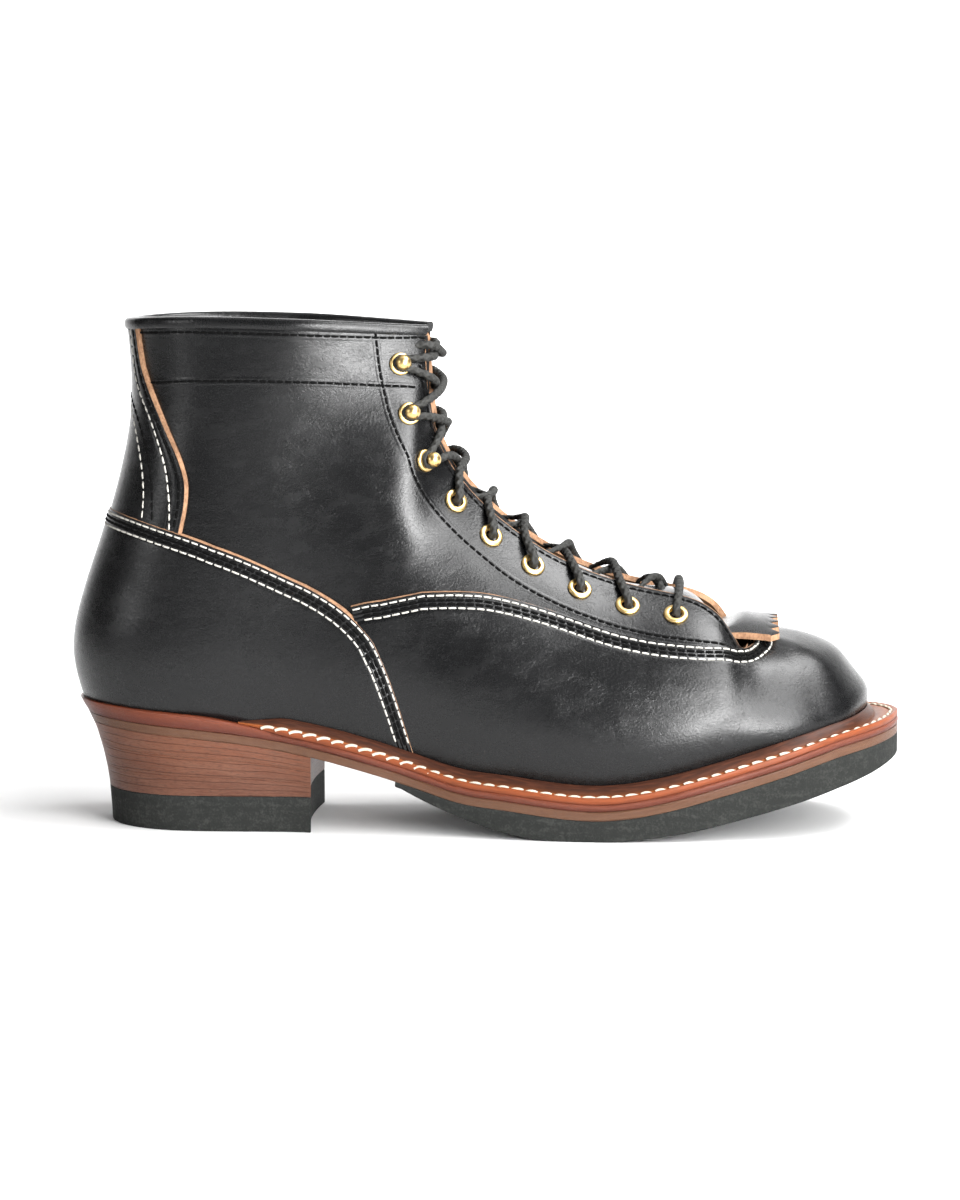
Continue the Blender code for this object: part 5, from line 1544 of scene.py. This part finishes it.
def rubber(name):
    paint = Paint(name, (0.016, 0.017, 0.016), 0.85, {"Specular IOR Level": 0.15})
    speck = paint.noise(1400.0, 3.0)
    grit = paint.noise(420.0, 2.0)
    pits = paint.cells(620.0)
    rubbed = paint.noise(1.0, 3.0, (60, 60, 420))
    dust = (speck * 0.5 + grit * 0.3 + rubbed * 0.3).between(0.5, 0.72)
    paint.colored(paint.blend(dust * 0.35, (0.016, 0.017, 0.016), (0.060, 0.061, 0.056)))
    paint.raised(speck * 0.6 + grit * 0.5 + pits * 0.4 + rubbed * 0.3, 0.0003)
    return paint.material


# The midsole's lighter high colour is a painted highlight along its upper edge.
MIDSOLE_LEATHER = sole_leather("midsole_leather", (0.075, 0.015, 0.008), (0.115, 0.027, 0.012),
                               (0.17, 0.040, 0.017), 1.0, 0.0)
SLIP_LEATHER = sole_leather("slip_leather", (0.090, 0.038, 0.019), (0.125, 0.058, 0.029),
                            (0.085, 0.030, 0.014), 1.0, 0.25)
STACK_LEATHER = sole_leather("stacked_leather", (0.085, 0.030, 0.017), (0.140, 0.060, 0.036),
                             (0.125, 0.042, 0.021), 8.0, 0.45, 0.45)
RUBBER = rubber("rubber")

# %% Lay the soles and the heel
TREAD_START = along(TREAD_LINE[0][0])
LIFTS = 3


def stack_height(share):
    return lambda x: TOP_LIFT_THICKNESS + (slip_bottom(x) - TOP_LIFT_THICKNESS) * share


def stack_share(x, z):
    return (z - TOP_LIFT_THICKNESS) / np.maximum(slip_bottom(x) - TOP_LIFT_THICKNESS, 1e-4)


def board_bottom(x):
    return midsole_top(x) + FOOT_GAP


dress(layer("midsole_edge", outline, -1, 1, midsole_top, midsole_bottom, [MIDSOLE_LEATHER], undercut, 0.45,
            bulge=0.15), "sole_leather", "midsole")
dress(layer("slip_edge", outline, -1, 1, midsole_bottom, slip_bottom, [SLIP_LEATHER], undercut, 0.2),
      "sole_leather", "slip_sole")
dress(layer("tread_rubber", outline, TREAD_START, 1, slip_bottom, tread_bottom, [RUBBER], None, 0.35),
      "black_rubber", "tread")
for i in range(LIFTS):
    made = layer("stack_%d" % (i + 1), outline, -1, HEEL_BREAST, stack_height((i + 1) / LIFTS),
                 stack_height(i / LIFTS), [STACK_LEATHER], heel_shape, 0.12, share_of=stack_share)
    dress(made, "heel_leather", "lift_%d" % (i + 1))
dress(layer("top_lift_rubber", outline, -1, HEEL_BREAST, stack_height(0), lambda x: 0 * x, [RUBBER],
            heel_shape, 0.4), "black_rubber", "top_lift")
inside = feather - feather_normal * (WALL + 3 * FOOT_GAP)
dress(layer("insole_board", inside, -1, 1, lambda x: board_bottom(x) + INSOLE_THICKNESS, board_bottom,
            [LINING], None, 0.3), "sole_leather", "insole")


# %% Welt leather
def welt_leather():
    """Painted shade on the bead against the upper, a painted highlight in orange-brown on the upper face and
    its groove, and the midsole's red-brown on the trimmed edge, darker towards its foot.
    """
    paint = Paint("welt_leather", (0.17, 0.042, 0.018), 0.4, {"Specular IOR Level": 0.15})
    part = paint.node("ShaderNodeSeparateXYZ", values={"Vector": paint.place(source="way")}, output=1)
    streak = paint.noise(1.0, 3.0, (140, 30, 1), source="way")
    fine = paint.noise(1900.0, 2.0)
    # The bead's dark brown is painted shade, and the orange-brown of the welt's upper face is a painted
    # highlight.
    color = paint.blend(part.between(0.36, 0.50), (0.034, 0.013, 0.008), (0.27, 0.078, 0.022))
    color = paint.blend(part.between(0.66, 0.76), color, (0.22, 0.056, 0.020))
    color = paint.blend(part.between(0.86, 0.95), color, (0.11, 0.025, 0.011))
    paint.colored(paint.blend(streak.between(0.4, 0.7) * 0.5, color, (0.10, 0.032, 0.016)))
    paint.rough(fine * 0.2 + streak * 0.15 + 0.24)
    paint.raised(streak * 0.5 + fine * 0.5, 0.00016)
    return paint.material

# %% Welt with its bead and groove
WELT_END = 3.5
WELT_FADE = [(0, 0.10), (0.3, 0.75), (0.45, 1.0)]
WALL_LOOKS = 33
GROOVE = [(0.0016, 0.0), (0.0009, -0.0001), (0.0004, -0.0004), (0.0, -0.0006), (-0.0004, -0.0004),
          (-0.0009, -0.0001), (-0.0014, 0.0001)]
GROOVE_INSET = 0.0026


def bead(crest, outward, top, whole):
    """Places over the bead's round, from its crest to the welt's upper face."""
    for degrees in (10, 30, 50, 70, 90):
        a = math.radians(degrees)
        spot = crest + outward * BEAD_WIDTH * whole * (1 - math.cos(a)) ** 0.8
        spot[2] = top + (crest[2] - top) * math.cos(a) ** 0.7 if degrees < 90 else top
        yield spot


def grooved(first, last):
    """Places across the welt's upper face, with the groove of the stitches near its edge."""
    width = np.linalg.norm((last - first)[:2])
    for across, dip in GROOVE:
        share = 1 - (min(GROOVE_INSET, width * 0.5) + across) / max(width, 1e-6)
        spot = first + (last - first) * min(max(share, 0.02), 0.95)
        if 0.02 < share < 0.95:
            spot[2] += dip
        yield spot


def welt_ring(station):
    """One section of the welt, and the place of the stitch in its groove."""
    here = station if station <= TIP else station - ROUND
    i = np.abs(outline_stations - here).argmin()
    edge, outward = outline[i], np.append(feather_normal[i], 0.0)
    line = skin.at(np.full(WALL_LOOKS, here), np.linspace(0.0, 0.16, WALL_LOOKS), OVERLAY + 0.0001)
    heights = np.maximum.accumulate(line[:, 2] - line[0, 2]) + np.arange(WALL_LOOKS) * 1e-7
    whole = float(read_table(WELT_FADE, min(station - WELT_END, ROUND - WELT_END - station)))
    climbs = np.array([0.35, 0.7, 0.92, 1.0]) * (WELT_THICKNESS + BEAD_HEIGHT) * whole
    foot, wall = line[0], read_line(climbs, heights, line)
    crest = wall[-1]
    rounded = list(bead(crest, outward, foot[2] + WELT_THICKNESS * whole, whole))
    reach = max((edge - crest[:2]) @ outward[:2], BEAD_WIDTH + 0.0008)
    base = float(midsole_top(crest[0] + outward[0] * reach))
    rim = crest[:2] + outward[:2] * reach * whole
    last = np.array([*rim, base + WELT_THICKNESS * whole])
    section = list(grooved(rounded[-1], last))
    trimmed = [last - outward * 0.0004, last - outward * 0.0001 - (0, 0, 0.00015),
               last - (0, 0, 0.0006), np.array([*rim, base + 0.0004]),
               np.array([*rim, base]) - outward * 0.0003]
    return [foot, *wall, *rounded, *section, *trimmed], section[3] + (0, 0, 0.0004)


stations = np.arange(WELT_END, ROUND - WELT_END + 0.001, 0.1)
rings, groove = (np.array(part) for part in zip(*map(welt_ring, stations)))
measure = np.linspace(0, 1, rings.shape[1] + 1)
dress(sweep_object("welt_strip", rings, [welt_leather()], measure=measure), "sole_leather", "welt")
place, way, _ = evenly(groove[2:-2], 5.2)
tilt = np.array([0, 0, 1.0]) + 0 * place
slant = np.cross(tilt, way) * 0.13
sew("welt_rows", [(place, way + slant, tilt)], CREAM_THREAD, "cream_thread", 4.4, 1.15, 0.42, 0.08, 3)

# %% [markdown]
# ## Camera, floor and light
#
# The photograph was taken with a long lens from a little above the boot's outer side. The floor and
# backdrop are one pale sweep. Black leather shows its lights as shapes, so the soft boxes are placed
# where the photograph's highlights lie: four stand at the right and the front, one hangs over the toe,
# and a weak one stands behind the heel. Two more light the boot from above and the backdrop.

# %% Camera
AIM = Vector((0.0985, 0.0, 0.0815))
AZIMUTH, ELEVATION, DISTANCE = math.radians(2.3), math.radians(6.2), 1.41
LENS, SENSOR = 114.3, 36.0


def turned_to(obj, direction):
    """Turns a camera or lamp so that it looks this way."""
    obj.rotation_euler = direction.to_track_quat("-Z", "Y").to_euler()
    return show(obj)


back = Vector((math.sin(AZIMUTH) * math.cos(ELEVATION), -math.cos(AZIMUTH) * math.cos(ELEVATION),
               math.sin(ELEVATION)))
camera = bpy.data.objects.new("camera", bpy.data.cameras.new("camera"))
camera.data.lens, camera.data.sensor_width = LENS, SENSOR
camera.location = AIM + back * DISTANCE
bpy.context.scene.camera = turned_to(camera, -back)

# %% Floor and lights
FLOOR_FRONT, FLOOR_BACK, BEND, BACKDROP_TOP = -9.0, 1.2, 0.8, 3.0
# Each lamp: place, what it looks at, size and power.
SOFT_BOXES = {
    "key": ((0.95, -0.75, 1.00), (0.10, 0, 0.08), (0.62, 0.62), 15.0),
    "side": ((1.05, -1.10, 0.50), (0.10, 0, 0.10), (0.60, 0.60), 21.0),
    "front": ((0.83, -1.38, 0.43), (0.10, 0, 0.12), (0.50, 0.50), 13.0),
    "low": ((0.80, -1.43, 0.20), (0.10, 0, 0.13), (0.42, 0.42), 15.0),
    "over_toe": ((0.90, 0.0, 1.47), (0.10, 0, 0.08), (0.80, 0.80), 32.0),
    "heel": ((-1.25, -0.85, 0.55), (0.0, 0, 0.10), (0.50, 0.50), 4.5),
    "top": ((0.02, 0.20, 1.5), (0.1, 0, 0.0), (1.7, 1.3), 5.0),
    "backdrop": ((0.1, 0.9, 1.2), (0.1, 1.9, 0.4), (2.6, 0.9), 56.0),
}


def sweep_floor():
    """A floor that curves up into a backdrop."""
    profile = [(FLOOR_FRONT, 0.0), (FLOOR_BACK, 0.0)]
    profile += [(FLOOR_BACK + BEND * math.sin(a), BEND - BEND * math.cos(a))
                for a in np.linspace(0.1, math.pi / 2, 14)]
    profile += [(FLOOR_BACK + BEND, BACKDROP_TOP)]
    points = [(x, y, z) for x in (-6.0, 6.2) for y, z in profile]
    mesh = bpy.data.meshes.new("floor")
    mesh.from_pydata(points, [], grid_faces(2, len(profile)).tolist())
    mesh.materials.append(Paint("paper", (0.74, 0.74, 0.74), 0.9).material)
    mesh.shade_smooth()
    show(bpy.data.objects.new("floor", mesh))


sweep_floor()
for name, (place, look_at, size, power) in SOFT_BOXES.items():
    data = bpy.data.lights.new(name, "AREA")
    data.shape = "RECTANGLE"
    data.size, data.size_y = size
    data.energy = power
    lamp = bpy.data.objects.new(name, data)
    lamp.location = place
    turned_to(lamp, Vector(look_at) - Vector(place))
world = bpy.data.worlds.new("studio")
world.use_nodes = True
background = world.node_tree.nodes["Background"].inputs
background["Color"].default_value, background["Strength"].default_value = (1, 1, 1, 1), 0.07
bpy.context.scene.world = world
bpy.context.scene.view_settings.view_transform = "Standard"
